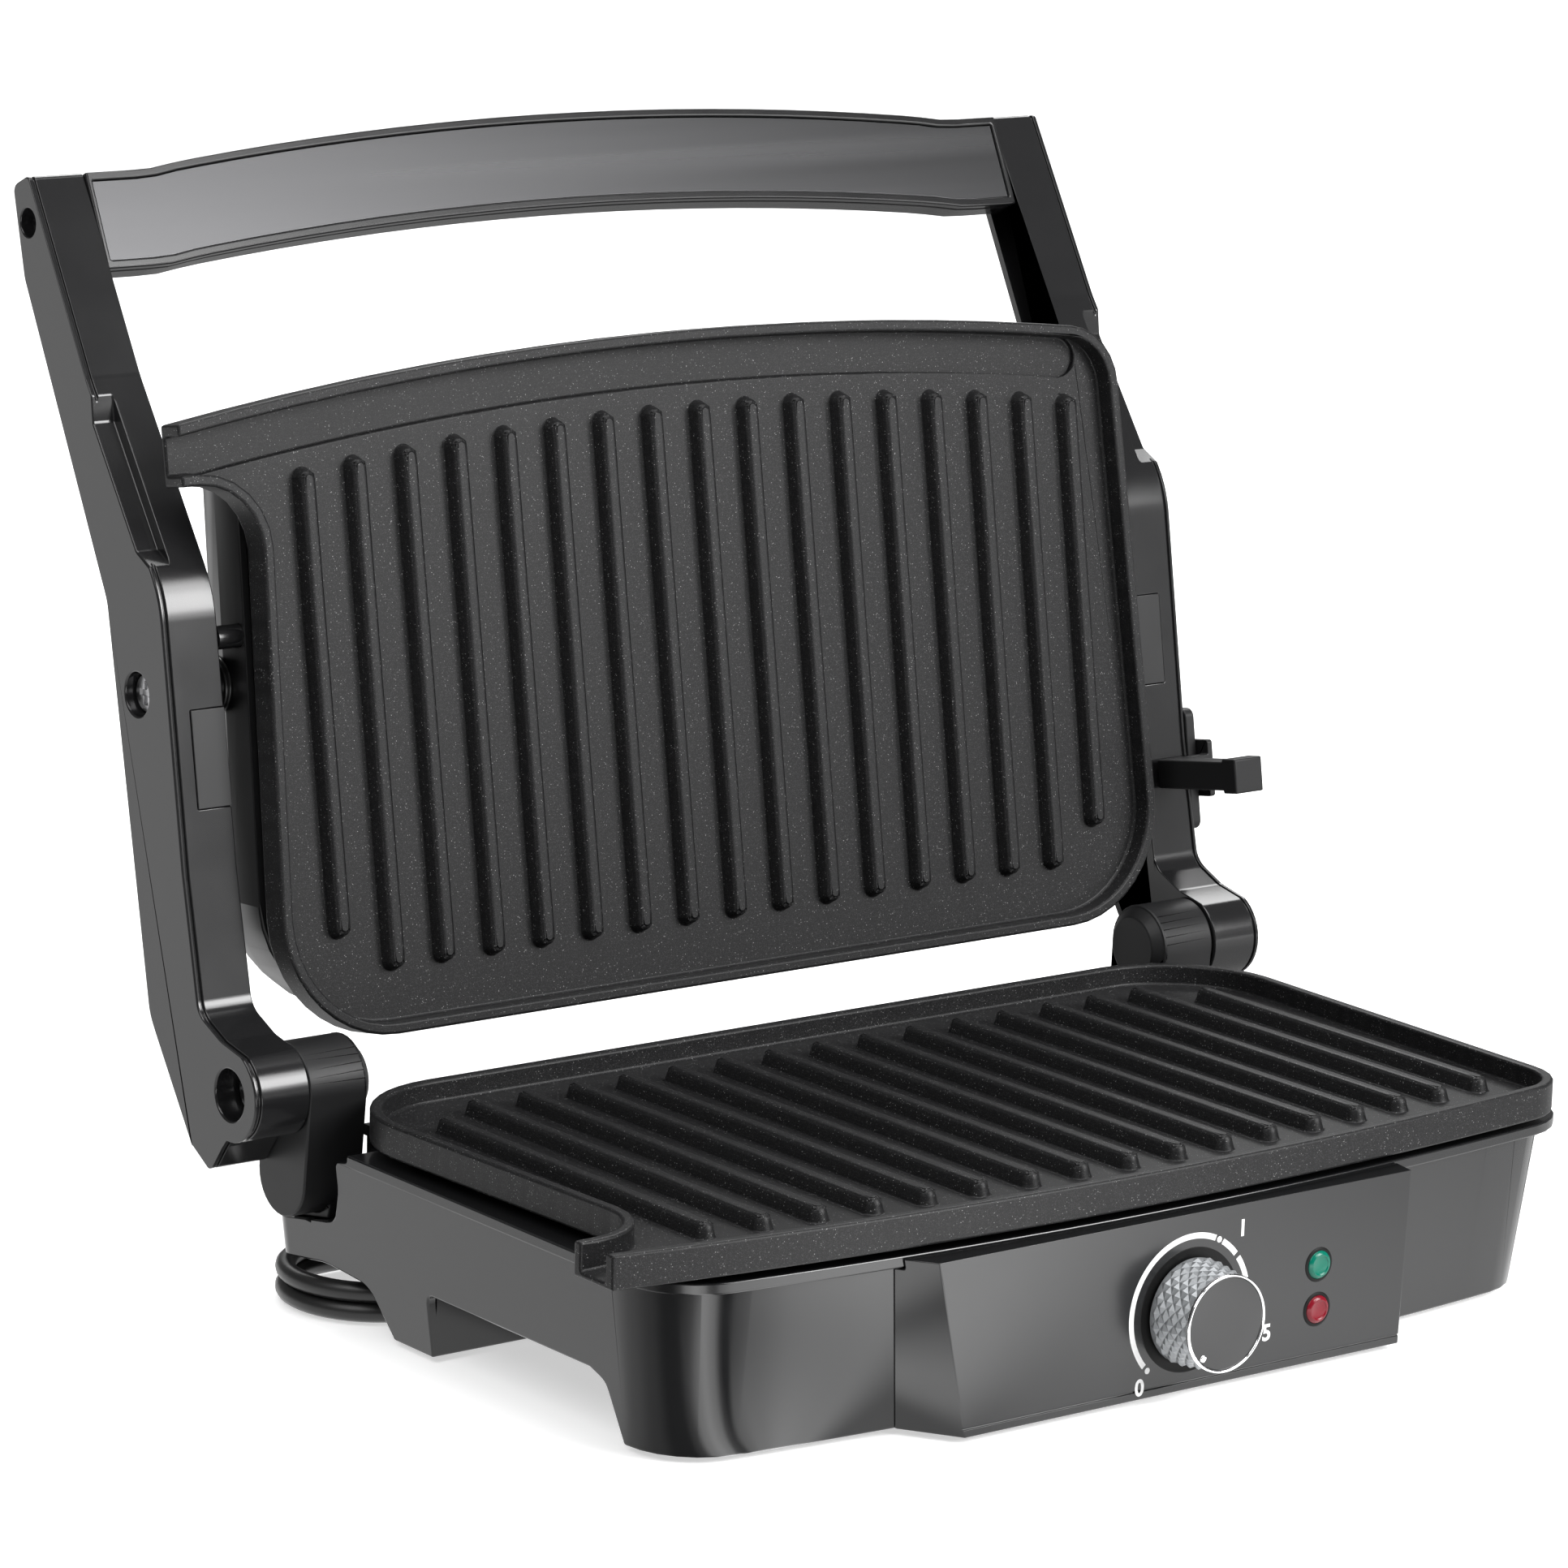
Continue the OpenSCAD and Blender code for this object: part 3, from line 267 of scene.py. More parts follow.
def put_out(group, out, color, roughness, height):
    """Links a group's three results to its outputs."""
    for key, value in (("Color", color), ("Roughness", roughness), ("Height", height)):
        group.links.new(value, out.inputs[key])


def noise(tree, vector, scale, detail):
    """Noise texture value; scale, in lumps per metre, is a socket or a number."""
    node = tree.nodes.new("ShaderNodeTexNoise")
    node.inputs["Detail"].default_value = detail
    tree.links.new(vector, node.inputs["Vector"])
    feed(tree, scale, node.inputs["Scale"])
    return node.outputs["Fac"]


def spread(tree, value, amount, middle):
    """middle + amount (value - 0.5): a noise value spread about a middle one."""
    return math_node(tree, "MULTIPLY_ADD", math_node(tree, "SUBTRACT", value, 0.5), amount, middle)


def shaded(tree, color, factor):
    """Colour times a factor."""
    node = tree.nodes.new("ShaderNodeVectorMath")
    node.operation = "SCALE"
    tree.links.new(color, node.inputs[0])
    tree.links.new(factor, node.inputs["Scale"])
    return node.outputs[0]


def specks(tree, vector, scale, share, size):
    """Value of scattered specks: a share of the Voronoi cells, scale of them to a metre, holds one
    of the given size in cells, each with its own strength."""
    cells = tree.nodes.new("ShaderNodeTexVoronoi")
    tree.links.new(vector, cells.inputs["Vector"])
    cells.inputs["Scale"].default_value = scale
    split = tree.nodes.new("ShaderNodeSeparateColor")
    tree.links.new(cells.outputs["Color"], split.inputs[0])
    chosen = math_node(tree, "LESS_THAN", split.outputs[0], share)
    core = math_node(tree, "LESS_THAN", cells.outputs["Distance"], size)
    return math_node(tree, "MULTIPLY", math_node(tree, "MULTIPLY", chosen, core), split.outputs[1])


def make_moulded_group():
    """Moulded plastic: its colour drifts a little, its gloss is uneven as on handled plastic, and
    its skin has a slight orange peel."""
    group, given, out = skin_group(
        "moulded_skin", Color=(0.05, 0.05, 0.05, 1), Roughness=0.25, Drift=0.08, Peel_Scale=500.0)
    broad = noise(group, given["Vector"], 18.0, 3)
    smudge = noise(group, given["Vector"], 70.0, 4)
    peel = noise(group, given["Vector"], given["Peel Scale"], 2)
    color = shaded(group, given["Color"], spread(group, broad, given["Drift"], 1.0))
    rough = math_node(group, "MULTIPLY", given["Roughness"], spread(group, smudge, 0.35, 1.0))
    put_out(group, out, color, rough, peel)
    return group


def make_coating_group():
    """Non-stick coating: a finely pebbled skin with a haze of small mica specks and a few larger
    ones."""
    group, given, out = skin_group(
        "coating_speckle", Color=(0.02, 0.02, 0.02, 1), Speck_Color=(0.3, 0.3, 0.3, 1),
        Roughness=0.45, Haze=0.1)
    fine = math_node(group, "MULTIPLY", specks(group, given["Vector"], 5200.0, 0.5, 0.5),
                     given["Haze"])
    large = math_node(group, "MULTIPLY", specks(group, given["Vector"], 3400.0, 0.05, 0.42), 0.8)
    mix = group.nodes.new("ShaderNodeMix")
    mix.data_type = "RGBA"
    group.links.new(math_node(group, "MAXIMUM", fine, large), mix.inputs["Factor"])
    group.links.new(given["Color"], mix.inputs["A"])
    group.links.new(given["Speck Color"], mix.inputs["B"])
    grain = noise(group, given["Vector"], 1500.0, 4)
    broad = noise(group, given["Vector"], 25.0, 3)
    rough = spread(group, broad, 0.1, given["Roughness"])
    put_out(group, out, mix.outputs["Result"], rough, grain)
    return group


def make_brushed_group():
    """Brushed metal: fine scratches run along one axis, because the noise is squeezed across it."""
    group, given, out = skin_group(
        "brushed_lines", Color=(0.5, 0.5, 0.5, 1), Roughness=0.25, Contrast=0.25)
    lines = noise(group, given["Vector"], 1.0, 3)
    broad = noise(group, given["Vector"], 0.05, 2)
    color = shaded(group, given["Color"], spread(group, lines, given["Contrast"], 1.0))
    rough = math_node(group, "MULTIPLY", given["Roughness"], spread(group, broad, 0.5, 1.0))
    put_out(group, out, color, rough, lines)
    return group


GROUPS = {"moulded": make_moulded_group(), "coating": make_coating_group(),
          "brushed": make_brushed_group()}
# Height of the bumps at full strength
BUMP_HEIGHT = 0.02 * MM


def finish(name, group, color, roughness, bump, stretch=None, **settings):
    """Material: a shader group drives colour, roughness and bump of a Principled BSDF.
    stretch scales the object's coordinates before the group; settings are inputs of the group or,
    where it has none of that name, of the BSDF."""
    material = bpy.data.materials.new(name)
    material.use_nodes = True
    nodes, links = material.node_tree.nodes, material.node_tree.links
    bsdf = nodes["Principled BSDF"]
    where = nodes.new("ShaderNodeTexCoord").outputs["Object"]
    if stretch:
        mapping = nodes.new("ShaderNodeMapping")
        mapping.inputs["Scale"].default_value = stretch
        links.new(where, mapping.inputs["Vector"])
        where = mapping.outputs[0]
    skin = nodes.new("ShaderNodeGroup")
    skin.node_tree = GROUPS[group]
    links.new(where, skin.inputs["Vector"])
    skin.inputs["Color"].default_value = (*color, 1)
    skin.inputs["Roughness"].default_value = roughness
    links.new(skin.outputs["Color"], bsdf.inputs["Base Color"])
    links.new(skin.outputs["Roughness"], bsdf.inputs["Roughness"])
    if bump:
        node = nodes.new("ShaderNodeBump")
        node.inputs["Strength"].default_value = bump
        node.inputs["Distance"].default_value = BUMP_HEIGHT
        links.new(skin.outputs["Height"], node.inputs["Height"])
        links.new(node.outputs[0], bsdf.inputs["Normal"])
    for key, value in settings.items():
        key = key.replace("_", " ")
        (skin if key in skin.inputs else bsdf).inputs[key].default_value = value
    return material


FINISHES = {
    "body": finish("charcoal_gloss", "moulded", (0.011, 0.0112, 0.0118), 0.15, 0.03),
    "panel": finish("panel_gloss", "moulded", (0.012, 0.0122, 0.0128), 0.22, 0.03),
    "underside": finish("black_matt_moulding", "moulded", (0.012, 0.012, 0.012), 0.55, 0.3),
    "hinge_black": finish("black_satin_moulding", "moulded", (0.011, 0.011, 0.0115), 0.42, 0.1,
                          Specular_IOR_Level=0.25),
    "rubber": finish("black_rubber", "moulded", (0.015, 0.015, 0.015), 0.7, 0.4),
    "cord_jacket": finish("cord_jacket", "moulded", (0.012, 0.012, 0.012), 0.38, 0.2),
    "plate": finish("non_stick_coating", "coating", (0.009, 0.009, 0.0095), 0.42, 0.35,
                    Specular_IOR_Level=0.18),
    "heater": finish("heater_sheath", "brushed", (0.25, 0.24, 0.23), 0.4, 0.1,
                     stretch=(60, 3000, 3000), Metallic=1.0),
    "sheet": finish("bright_sheet", "brushed", (0.6, 0.6, 0.6), 0.32, 0.05,
                    stretch=(80, 2500, 2500), Metallic=1.0),
    "steel": finish("zinc_steel", "brushed", (0.45, 0.45, 0.46), 0.25, 0.05,
                    stretch=(2500, 200, 2500), Metallic=1.0),
    "knob_metal": finish("silvered_knurl", "brushed", (0.26, 0.27, 0.28), 0.42, 0.05,
                         stretch=(900, 900, 900), Metallic=0.45),
    "knob_cap": finish("cap_grey", "moulded", (0.015, 0.015, 0.0155), 0.35, 0.05),
    "green_lens": finish("green_lens", "moulded", (0.0, 0.13, 0.085), 0.2, 0.0,
                         Specular_IOR_Level=0.3),
    "red_lens": finish("red_lens", "moulded", (0.17, 0.004, 0.012), 0.2, 0.0,
                       Specular_IOR_Level=0.3),
    "pad": finish("pad_grey", "moulded", (0.011, 0.011, 0.0115), 0.35, 0.05,
                  Specular_IOR_Level=0.35),
    "polished": finish("polished_grey", "brushed", (0.075, 0.075, 0.077), 0.26, 0.02,
                       stretch=(40, 2600, 2600), Metallic=1.0, Contrast=0.05),
}
# The arms and the handle have a deeper, wetter gloss than the housing, the lid's cover a softer one
PIANO = finish("piano_black", "moulded", (0.01, 0.01, 0.0105), 0.18, 0.02)
SATIN = finish("satin_black", "moulded", (0.01, 0.01, 0.0105), 0.32, 0.05)
SPECIAL_LOOKS = {
    "left_arm": PIANO, "right_arm": PIANO, "handle_back": PIANO, "handle_bezel": PIANO,
    "stop_pins": PIANO, "lid_cover": SATIN,
}
PRINT = finish("white_print", "moulded", (0.8, 0.8, 0.8), 0.5, 0.05)
# Near-black: painted shade in the ring round the knob's foot, and the dark rims of the lamps
SHADE_AND_RIM_BLACK = finish("painted_shade_and_rim_black", "moulded", (0.003, 0.003, 0.003), 0.5, 0.0, Specular_IOR_Level=0.15)
CHROME = finish("chrome_ring", "brushed", (0.85, 0.85, 0.86), 0.1, 0.0,
                stretch=(900, 900, 900), Metallic=1.0)


def look_of(node):
    """Material of a CAD node."""
    return SPECIAL_LOOKS.get(node) or FINISHES[slot_of[node]]


# ---------- pieces ----------

def place(piece, body, slot, material, *nodes):
    """Gives a piece its finish and body, and hides the CAD nodes it stands for; the slot is not
    used.
    """
    piece.data.materials.clear()
    piece.data.materials.append(material)
    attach(piece, body)
    if nodes:
        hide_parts(*nodes)
    return piece


def mesh_piece(name, verts, faces, smooth=True):
    """Object from an array of points and rows of corner numbers."""
    mesh = bpy.data.meshes.new(name)
    mesh.from_pydata(verts.tolist(), [], faces)
    mesh.polygons.foreach_set("use_smooth", [smooth] * len(mesh.polygons))
    return linked(name, mesh)


def mesh_from(bm, name):
    """Mesh of a finished bmesh, which is freed."""
    mesh = bpy.data.meshes.new(name)
    bm.to_mesh(mesh)
    bm.free()
    return mesh


def joined(name, *pieces):
    """The pieces' meshes in one object."""
    bm = bmesh.new()
    for piece in pieces:
        bm.from_mesh(piece.data)
        bpy.data.objects.remove(piece)
    return linked(name, mesh_from(bm, name))


def creased(piece, angle=30):
    """Smooth shading that breaks at every edge turning by more than angle, in degrees."""
    mesh = piece.data
    mesh.polygons.foreach_set("use_smooth", [True] * len(mesh.polygons))
    mesh.set_sharp_from_angle(angle=math.radians(angle))
    return piece


# ---------- rounded CAD solids ----------

# Points nearer than this are one point
WELD = 0.004 * MM
# Faces are joined into one below the first angle and count as lying in one plane below the second;
# an edge is rounded above the third
JOIN, FLAT, EDGE = math.radians(0.5), math.radians(1), math.radians(28)
# Angle in degrees at which the shading of a rounded solid breaks
BREAK = 35
# Share of the free room beside an edge that its rounding may take
ROOM_SHARE = 0.42

# Rounding width of each solid's edges, in mm
ROUNDED = {
    "base_housing": 0.5, "control_panel": 0.5, "lower_plate": 0.7, "upper_plate": 0.7,
    "left_arm": 0.5, "right_arm": 0.5, "handle_back": 0.8, "handle_bezel": 0.5,
    "handle_insert": 0.3, "lid_cover": 0.6, "left_hinge_post": 0.5, "right_hinge_post": 0.5,
    "storage_latch": 0.6, "latch_track": 0.4, "feet": 0.4, "bottom_cover": 0.4, "arm_pads": 0.2,
}


def room(face, edge):
    """Distance from an edge's middle to the nearest real edge of the face that doesn't touch it.
    Edges between faces that lie in one plane only split a face, so they don't count."""
    middle = (edge.verts[0].co + edge.verts[1].co) / 2
    ends = set(edge.verts)
    near = math.inf
    for other in face.edges:
        a, b = other.verts
        if a in ends or b in ends or other.calc_face_angle(math.pi) < FLAT:
            continue
        along = b.co - a.co
        t = 0.0
        if along.length_squared:
            t = max(0.0, min(1.0, (middle - a.co).dot(along) / along.length_squared))
        near = min(near, (a.co + along * t - middle).length)
    return near


def merge_slivers(bm, height=0.03 * MM, length=1.5 * MM):
    """Joins each face longer than length and thinner than height to its neighbour across its
    longest edge. A face's height is twice its area over that edge. The edges keep the faces'
    order, so that each run gives the same mesh."""
    slim = []
    for face in bm.faces:
        longest = max(face.edges, key=lambda e: e.calc_length())
        reach = longest.calc_length()
        thin = reach > length and 2 * face.calc_area() / reach < height
        if thin and len(longest.link_faces) == 2:
            slim.append(longest)
    bmesh.ops.dissolve_edges(bm, edges=list(dict.fromkeys(slim)), use_verts=False)


def level_weights(bm, layer, growth=1.35, rounds=4):
    """Limits each rounding to growth times the smallest one that it meets, so that roundings taper
    gently."""
    for _ in range(rounds):
        for edge in bm.edges:
            if edge[layer] > 0:
                near = min(other[layer] for v in edge.verts for other in v.link_edges
                           if other[layer] > 0)
                edge[layer] = min(edge[layer], growth * near)


def softened(node, width):
    """Rounded copy of a CAD solid that stands for it: its loose triangles are merged, flat
    neighbours joined into whole faces, and every edge is rounded to width in mm, or less where a
    face beside it is narrow."""
    name = node + "_rounded"
    mesh = frame["nodes"][node].data.copy()
    mesh.name = name
    bm = bmesh.new()
    bm.from_mesh(mesh)
    bmesh.ops.remove_doubles(bm, verts=bm.verts, dist=WELD)
    bmesh.ops.dissolve_degenerate(bm, edges=bm.edges, dist=WELD)
    bmesh.ops.dissolve_limit(bm, angle_limit=JOIN, verts=bm.verts, edges=bm.edges)
    merge_slivers(bm)
    weight = bm.edges.layers.float.new("bevel_weight_edge")
    bm.normal_update()
    for edge in bm.edges:
        if len(edge.link_faces) == 2 and edge.calc_face_angle(0) >= EDGE:
            free = min(room(face, edge) for face in edge.link_faces) / MM
            edge[weight] = min(1.0, ROOM_SHARE * free / width)
    level_weights(bm, weight)
    bm.to_mesh(mesh)
    bm.free()
    piece = creased(linked(name, mesh), BREAK)
    bevel = piece.modifiers.new("rounded", "BEVEL")
    bevel.width = width * MM
    bevel.segments = 3
    bevel.limit_method = "WEIGHT"
    bevel.use_clamp_overlap = False
    bevel.miter_outer = "MITER_ARC"
    shade = piece.modifiers.new("flat faces", "WEIGHTED_NORMAL")
    shade.keep_sharp = True
    place(piece, body_of[node], slot_of[node], look_of(node), node)


# ---------- cord ----------

# Lead, in mm: its diameter, the radius of its bends, the x of the left and right bend's middle, and
# the heights of its upper and lower turn
LEAD, BEND, BEND_LEFT, BEND_RIGHT = 5.2, 23.5, -119.5, 35.5
UPPER, LOWER = 8.4, 3.2
# x at which the turns begin and end, and the points of the lead's ends: from the gland to the
# upper turn, and from the lower turn to the plug
TURN_X = 32
LEAD_IN = ((95, -20, 9.5), (80, -21, 9.3), (62, -23, 8.7), (46, -BEND, UPPER),
           (TURN_X, -BEND, UPPER))
LEAD_OUT = ((TURN_X, BEND, LOWER), (44, BEND, LOWER), (56, 23.8, 4.1), (67, 24, 5.8), (76, 24, 6.3))


def catmull(points, per_span):
    """Smooth line through points: each span is the cubic whose ends head along the neighbouring
    points."""
    p = np.asarray(points, float)
    p = np.vstack([2 * p[0] - p[1], p, 2 * p[-1] - p[-2]])
    t = np.linspace(0, 1, per_span, endpoint=False)[:, None]
    spans = [0.5 * (2 * b + (c - a) * t + (2 * a - 5 * b + 4 * c - d) * t ** 2
                    + (3 * b - a - 3 * c + d) * t ** 3)
             for a, b, c, d in zip(p[:-3], p[1:-2], p[2:-1], p[3:])]
    return np.vstack(spans + [p[-2][None]])


def straight(a, b, steps=7):
    """Points between a and b, without the two, that part the line into equal steps."""
    t = np.arange(1, steps)[:, None] / steps
    return np.asarray(a) + (np.asarray(b) - np.asarray(a)) * t


def bend(x, start, z0, z1, steps=26):
    """Half a turn of the lead about (x, 0), clockwise from above, from the start angle in degrees.
    Its height goes from z0 to z1 by the smooth step t t (3 - 2 t)."""
    t = np.linspace(0, 1, steps)
    s = t * t * (3 - 2 * t)
    a = np.radians(start - 180 * t)
    half = np.column_stack([x + BEND * np.cos(a), BEND * np.sin(a), z0 + (z1 - z0) * s])
    half[0], half[-1] = (x, math.copysign(BEND, start), z0), (x, -math.copysign(BEND, start), z1)
    return half


def make_cord():
    """Lead round the hub under the base: in from the gland, round the left bend in the upper turn,
    down round the right bend, round the left bend again in the lower turn, and out to the plug."""
    route = np.vstack([
        catmull(LEAD_IN, 5),
        straight((TURN_X, -BEND, UPPER), (BEND_LEFT, -BEND, UPPER)),
        bend(BEND_LEFT, -90, UPPER, UPPER),
        straight((BEND_LEFT, BEND, UPPER), (BEND_RIGHT, BEND, UPPER)),
        bend(BEND_RIGHT, 90, UPPER, LOWER),
        straight((BEND_RIGHT, -BEND, LOWER), (BEND_LEFT, -BEND, LOWER)),
        bend(BEND_LEFT, -90, LOWER, LOWER),
        straight((BEND_LEFT, BEND, LOWER), (TURN_X, BEND, LOWER)),
        catmull(LEAD_OUT, 5)]) * MM
    data = bpy.data.curves.new("mains_lead", "CURVE")
    data.dimensions = "3D"
    data.bevel_depth = LEAD / 2 * MM
    data.bevel_resolution = 4
    data.use_fill_caps = True
    spline = data.splines.new("POLY")
    spline.points.add(len(route) - 1)
    spline.points.foreach_set("co", np.column_stack([route, np.ones(len(route))]).ravel())
    lead = linked("mains_lead", data)
    place(lead, "base", "cord_jacket", FINISHES["cord_jacket"], "cord", "cord_coil")


# ---------- knob, dial and lamps ----------

# Dial axis, panel face and lamps, in mm
DIAL_X, DIAL_Z, FACE_Y = 1.5, 21.9, -173.5
LAMP_X = 43.3
LAMP_ZS = {"green": 26.6, "red": 15.1}
# How far print stands in front of the panel, in mm
PRINT_LIFT = 0.03

# Knob's knurled skirt, in mm: radius at its foot and top, distance of both in front of the panel,
# pyramids round it, rows of them, and their height
KNURL = (13.9, 12.4, 0.9, 12.6, 22, 4, 0.6)
# Profiles of turned pieces, in mm: radius and distance in front of the panel
COLLAR = ((4, 0.5), (13.0, 0.5), (13.3, 0.7), (13.3, 0.95))
RING = ((11.6, 12.5), (12.0, 12.55), (12.3, 12.8), (12.35, 13.1), (12.3, 13.75), (12.15, 13.92),
        (11.95, 13.95), (11.75, 13.85), (11.65, 13.6), (11.6, 13.2))
CAP = ((11.62, 13.0), (11.6, 13.35), (11.5, 13.48), (11.3, 13.52), (5, 13.53), (0, 13.53))
STUD = ((0.95, 13.4), (0.95, 13.62), (0.8, 13.78), (0.4, 13.86), (0, 13.88))
# Thin near-black ring round the knob's foot, standing a hair in front of the panel: painted shade
KNOB_SHADE_RING = ((12.9, 0.02), (14.9, 0.02), (15.3, 0.05), (15.55, 0.1), (15.7, 0.08), (15.8, 0.01))
LENS_SHAPE = ((0, 0.8), (2.2, 0.8), (2.35, 0.88), (2.5, 1.05), (2.65, 1.08), (2.8, 1.02),
              (3.1, 0.8), (3.45, 0.55), (3.6, 0.25), (3.6, -2.4), (4.8, -2.45), (4.8, -6.0),
              (0, -6.0))
LENS_RIM = ((3.62, 0.3), (3.8, 0.34), (4.2, 0.24), (4.45, 0.02))

# Printed scale, its angles clockwise from the top in degrees and its radii in mm: the ring's radius
# and width, its parts, the dots and their radius, and the figures (text, angle, radius) and size
SCALE_RADIUS, SCALE_WIDTH = 18.6, 1.5
SCALE_PARTS = ((-131, 24), (32, 50), (54, 74))
DOTS, DOT_RADIUS = (-136, 28), 0.8
FIGURES, FIGURE_SIZE = (("0", -139, 23.2), ("1", 42, 24.2), ("5", 112, 27.5)), 5.8


def turned(name, profile, x, z, segments=96, smooth=True):
    """Turned piece about the line through (x, z) that points to the front, all in mm. The profile
    row (r, d) becomes the ring (x + r cos a, face - d, z + r sin a), and a radius of 0 one point
    that closes an end."""
    r, d = np.array(profile, float).T[:, :, None]
    a = np.linspace(0, 2 * np.pi, segments, endpoint=False)
    rings = [x + r * np.cos(a), FACE_Y - d, z + r * np.sin(a)]
    grid = np.stack(np.broadcast_arrays(*rings), axis=-1).reshape(-1, 3)
    corner = np.arange(len(grid)).reshape(-1, segments)
    used, corner = np.unique(np.where(r == 0, corner[:, :1], corner), return_inverse=True)
    corner = corner.reshape(-1, segments)
    after = np.roll(corner, -1, axis=1)
    quads = np.stack([corner[:-1], corner[1:], after[1:], after[:-1]], axis=-1).reshape(-1, 4)
    faces = [[c for k, c in enumerate(quad) if c != quad[k - 1]] for quad in quads.tolist()]
    return mesh_piece(name, grid[used] * MM, faces, smooth)


def knurl(name, x, z, r0, r1, d0, d1, count, rows, depth):
    """Cone of four-sided pyramids in staggered rows, from radius r0 at distance d0 in front of the
    panel to r1 at d1, all in mm. On the grid of i steps round and j steps along, points with an
    even i + j are peaks, the others and both ends lie depth lower, and each square is split between
    its two low corners."""
    around, along = 2 * count, 2 * rows
    j, i = np.mgrid[0:along + 1, 0:around]
    even = (i + j) % 2 == 0
    t, a = j / along, 2 * np.pi * i / around
    r = r0 + (r1 - r0) * t - np.where(even & (j > 0) & (j < along), 0, depth)
    verts = np.stack([x + r * np.cos(a), FACE_Y - d0 - (d1 - d0) * t, z + r * np.sin(a)], axis=-1)
    corner = j * around + i
    after = np.roll(corner, -1, axis=1)
    a, b, c, d = corner[:-1], after[:-1], after[1:], corner[1:]
    faces = np.where(even[:-1, :, None], np.stack([a, d, b, b, d, c], axis=-1),
                     np.stack([a, c, b, a, d, c], axis=-1))
    return mesh_piece(name, verts.reshape(-1, 3) * MM, faces.reshape(-1, 3).tolist(), smooth=False)


def on_dial(angle, radius):
    """x and z in mm of a point of the panel: the angle is clockwise from the top, in degrees."""
    a = np.radians(angle)
    return DIAL_X + radius * np.sin(a), DIAL_Z + radius * np.cos(a)


def make_knob():
    """Knurled skirt with its collar, bright ring, satin cap and pointer stud."""
    skirt = knurl("knob_knurl", DIAL_X, DIAL_Z, *KNURL)
    collar = creased(turned("collar", COLLAR, DIAL_X, DIAL_Z))
    place(joined("knob_knurl", skirt, collar), "knob", "knob_metal", FINISHES["knob_metal"],
          "knob_skirt")
    place(turned("knob_ring", RING, DIAL_X, DIAL_Z), "knob", "knob_metal", CHROME)
    place(turned("knob_face", CAP, DIAL_X, DIAL_Z), "knob", "knob_cap", FINISHES["knob_cap"],
          "knob_cap")
    stud = turned("knob_pointer", STUD, *on_dial(-138, 10.4), 24)
    place(stud, "knob", "knob_metal", CHROME)


def sector(start, end):
    """Flat part of the scale's ring between two angles: its outer rim, then its inner one back."""
    n = max(3, int(abs(end - start) / 2))
    angles = np.linspace(start, end, n)
    angles = np.concatenate([angles, angles[::-1]])
    radii = np.repeat([SCALE_RADIUS + SCALE_WIDTH / 2, SCALE_RADIUS - SCALE_WIDTH / 2], n)
    x, z = on_dial(angles, radii)
    i = np.arange(n - 1)
    faces = np.column_stack([i, i + 1, 2 * n - 2 - i, 2 * n - 1 - i]).tolist()
    verts = np.column_stack([x, np.full(2 * n, FACE_Y - PRINT_LIFT), z])
    return mesh_piece("mark", verts * MM, faces, smooth=False)


def figure(text, x, z):
    """Printed figure centred on a point of the panel, turned into a mesh and slightly bold."""
    data = bpy.data.curves.new("figure", "FONT")
    data.body = text
    data.size = FIGURE_SIZE * MM
    data.align_x, data.align_y = "CENTER", "CENTER"
    data.offset = 0.03 * FIGURE_SIZE * MM
    data.resolution_u = 6
    holder = linked("figure", data)
    mesh = bpy.data.meshes.new_from_object(
        holder.evaluated_get(bpy.context.evaluated_depsgraph_get()))
    bpy.data.objects.remove(holder)
    upright = Matrix.Rotation(math.pi / 2, 4, "X")
    mesh.transform(Matrix.Translation(Vector((x, FACE_Y - PRINT_LIFT, z)) * MM) @ upright)
    return linked("mark", mesh)


def make_dial():
    """Printed scale round the knob, with plain numbers at its places, and a thin near-black ring
    round the knob's foot: painted shade on the panel."""
    marks = [sector(*part) for part in SCALE_PARTS]
    disc = ((DOT_RADIUS, PRINT_LIFT), (0, PRINT_LIFT))
    marks += [turned("mark", disc, *on_dial(a, SCALE_RADIUS), 20, smooth=False) for a in DOTS]
    marks += [figure(text, *on_dial(angle, radius)) for text, angle, radius in FIGURES]
    place(joined("dial_print", *marks), "base", "panel", PRINT)
    # The ring round the knob's foot is painted shade: a near-black sheet just in front of the panel
    place(creased(turned("knob_painted_shade_ring", KNOB_SHADE_RING, DIAL_X, DIAL_Z)), "base", "panel", SHADE_AND_RIM_BLACK)


def make_lamps():
    """Two lenses with a raised ring, each in a dark rim."""
    for colour, z in LAMP_ZS.items():
        slot = colour + "_lens"
        lens = turned(slot, LENS_SHAPE, LAMP_X, z, 64)
        place(lens, "base", slot, FINISHES[slot], colour + "_lamp")
        place(turned(slot + "_rim", LENS_RIM, LAMP_X, z, 64), "base", "panel", SHADE_AND_RIM_BLACK)


# ---------- screw heads ----------

# Arms' outer side and its recessed screws, in mm: place in the closed lid (distance forward of the
# hinge axis, height above it), depth of the seat below that side, and radius of the head
ARM_OUT = 164.5
ARM_SCREWS = {
    "hinge": (0, 0, 7.2, 5.6),
    "pivot": (99.4, 28.4, 3.6, 5.0),
    "handle": (218.68, 62.44, 5.6, 3.2),
}
# Heads: height, and how far they are sunk into their seat, in mm
HEAD_HEIGHT, HEAD_SINK = 0.9, 0.1


def pairs(ring):
    """Each member of a closed ring with the next one."""
    return list(zip(ring, ring[1:] + ring[:1]))


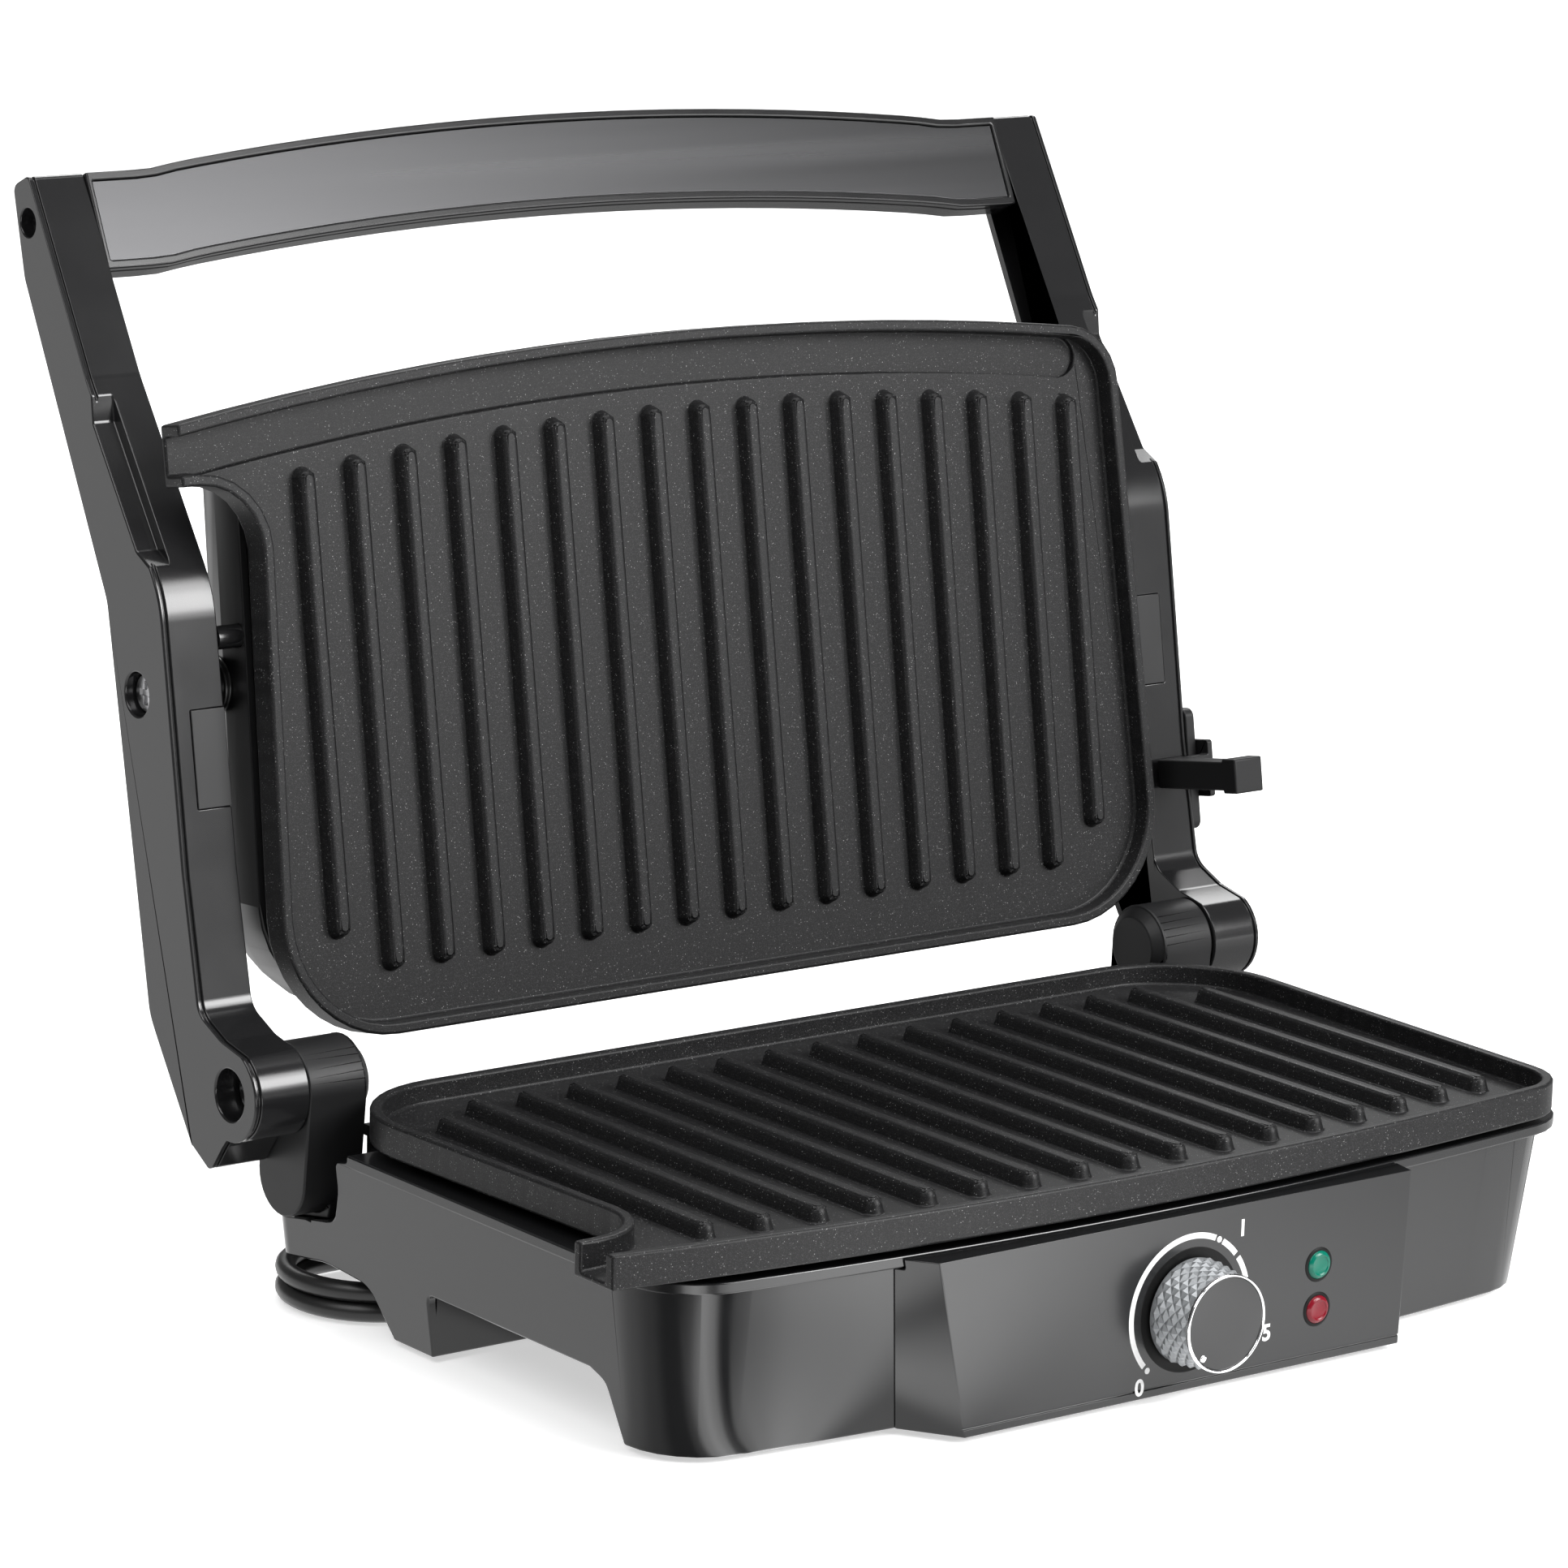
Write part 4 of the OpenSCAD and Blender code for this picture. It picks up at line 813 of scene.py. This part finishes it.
def cross_head(name, centre, side, radius, body):
    """Screw head with a cross recess, its centre in metres and its radius in mm, that faces side
    (-1 or 1) along X. In shares of the radius its top is 0.93 wide above a slope 0.07 high, and the
    recess's arms are 0.17 wide and 0.62 long from the axis; the recess is half the height deep and
    narrows to 0.8."""
    w, reach = 0.17 * radius, 0.62 * radius
    cross = [(w, reach), (-w, reach), (-w, w), (-reach, w), (-reach, -w), (-w, -w),
             (-w, -reach), (w, -reach), (w, -w), (reach, -w), (reach, w), (w, w)]
    circle = [(radius * math.cos(a), radius * math.sin(a))
              for a in np.linspace(0, 2 * np.pi, 32, endpoint=False)]
    bm = bmesh.new()

    def ring(points, scale, z):
        return [bm.verts.new((scale * x, scale * y, z)) for x, y in points]

    rim = ring(circle, 0.93, HEAD_HEIGHT)
    wall = ring(circle, 1, HEAD_HEIGHT - 0.07 * radius)
    foot = ring(circle, 1, 0)
    mouth = ring(cross, 1, HEAD_HEIGHT)
    floor = ring(cross, 0.8, 0.5 * HEAD_HEIGHT)
    for one, two in ((rim, wall), (wall, foot), (floor, mouth)):
        for (a, b), (c, d) in zip(pairs(one), pairs(two)):
            bm.faces.new((a, c, d, b))
    bm.faces.new(floor)
    bmesh.ops.triangle_fill(bm, use_beauty=True, use_dissolve=False,
                            edges=[bm.edges.get(p) for p in pairs(rim) + pairs(mouth)])
    bmesh.ops.recalc_face_normals(bm, faces=bm.faces)
    mesh = mesh_from(bm, name)
    turn = Vector((0, 0, 1)).rotation_difference(Vector((side, 0, 0))).to_matrix().to_4x4()
    mesh.transform(Matrix.Translation(centre) @ turn @ Matrix.Scale(MM, 4))
    place(creased(linked(name, mesh), 25), body, "steel", FINISHES["steel"])


def in_lid(x, a, h):
    """World point of closed lid coordinates in mm: x, distance forward of the hinge axis, height
    above it. The open lid turns them to (x, h sin o - a cos o, a sin o + h cos o)."""
    c, s = math.cos(LID_OPEN), math.sin(LID_OPEN)
    return Vector((x, -a * c + h * s, a * s + h * c)) * MM + Vector((0, 0, HINGE_Z))


def make_screw_heads():
    """Cross heads at the bottom of the arms' round recesses."""
    for side, label in ((-1, "left"), (1, "right")):
        for kind, (a, h, seat, radius) in ARM_SCREWS.items():
            centre = in_lid(side * (ARM_OUT - seat - HEAD_SINK), a, h)
            cross_head(f"{label}_{kind}_screw_head", centre, side, radius,
                       "base" if kind == "hinge" else "lid_arms")


make_camera()
make_cord()
make_knob()
make_dial()
make_lamps()
make_screw_heads()

for node, solid in frame["nodes"].items():
    solid.data.materials.clear()
    solid.data.materials.append(look_of(node))
for node, width in ROUNDED.items():
    softened(node, width)

make_studio()
bpy.context.scene.view_settings.view_transform = "Standard"
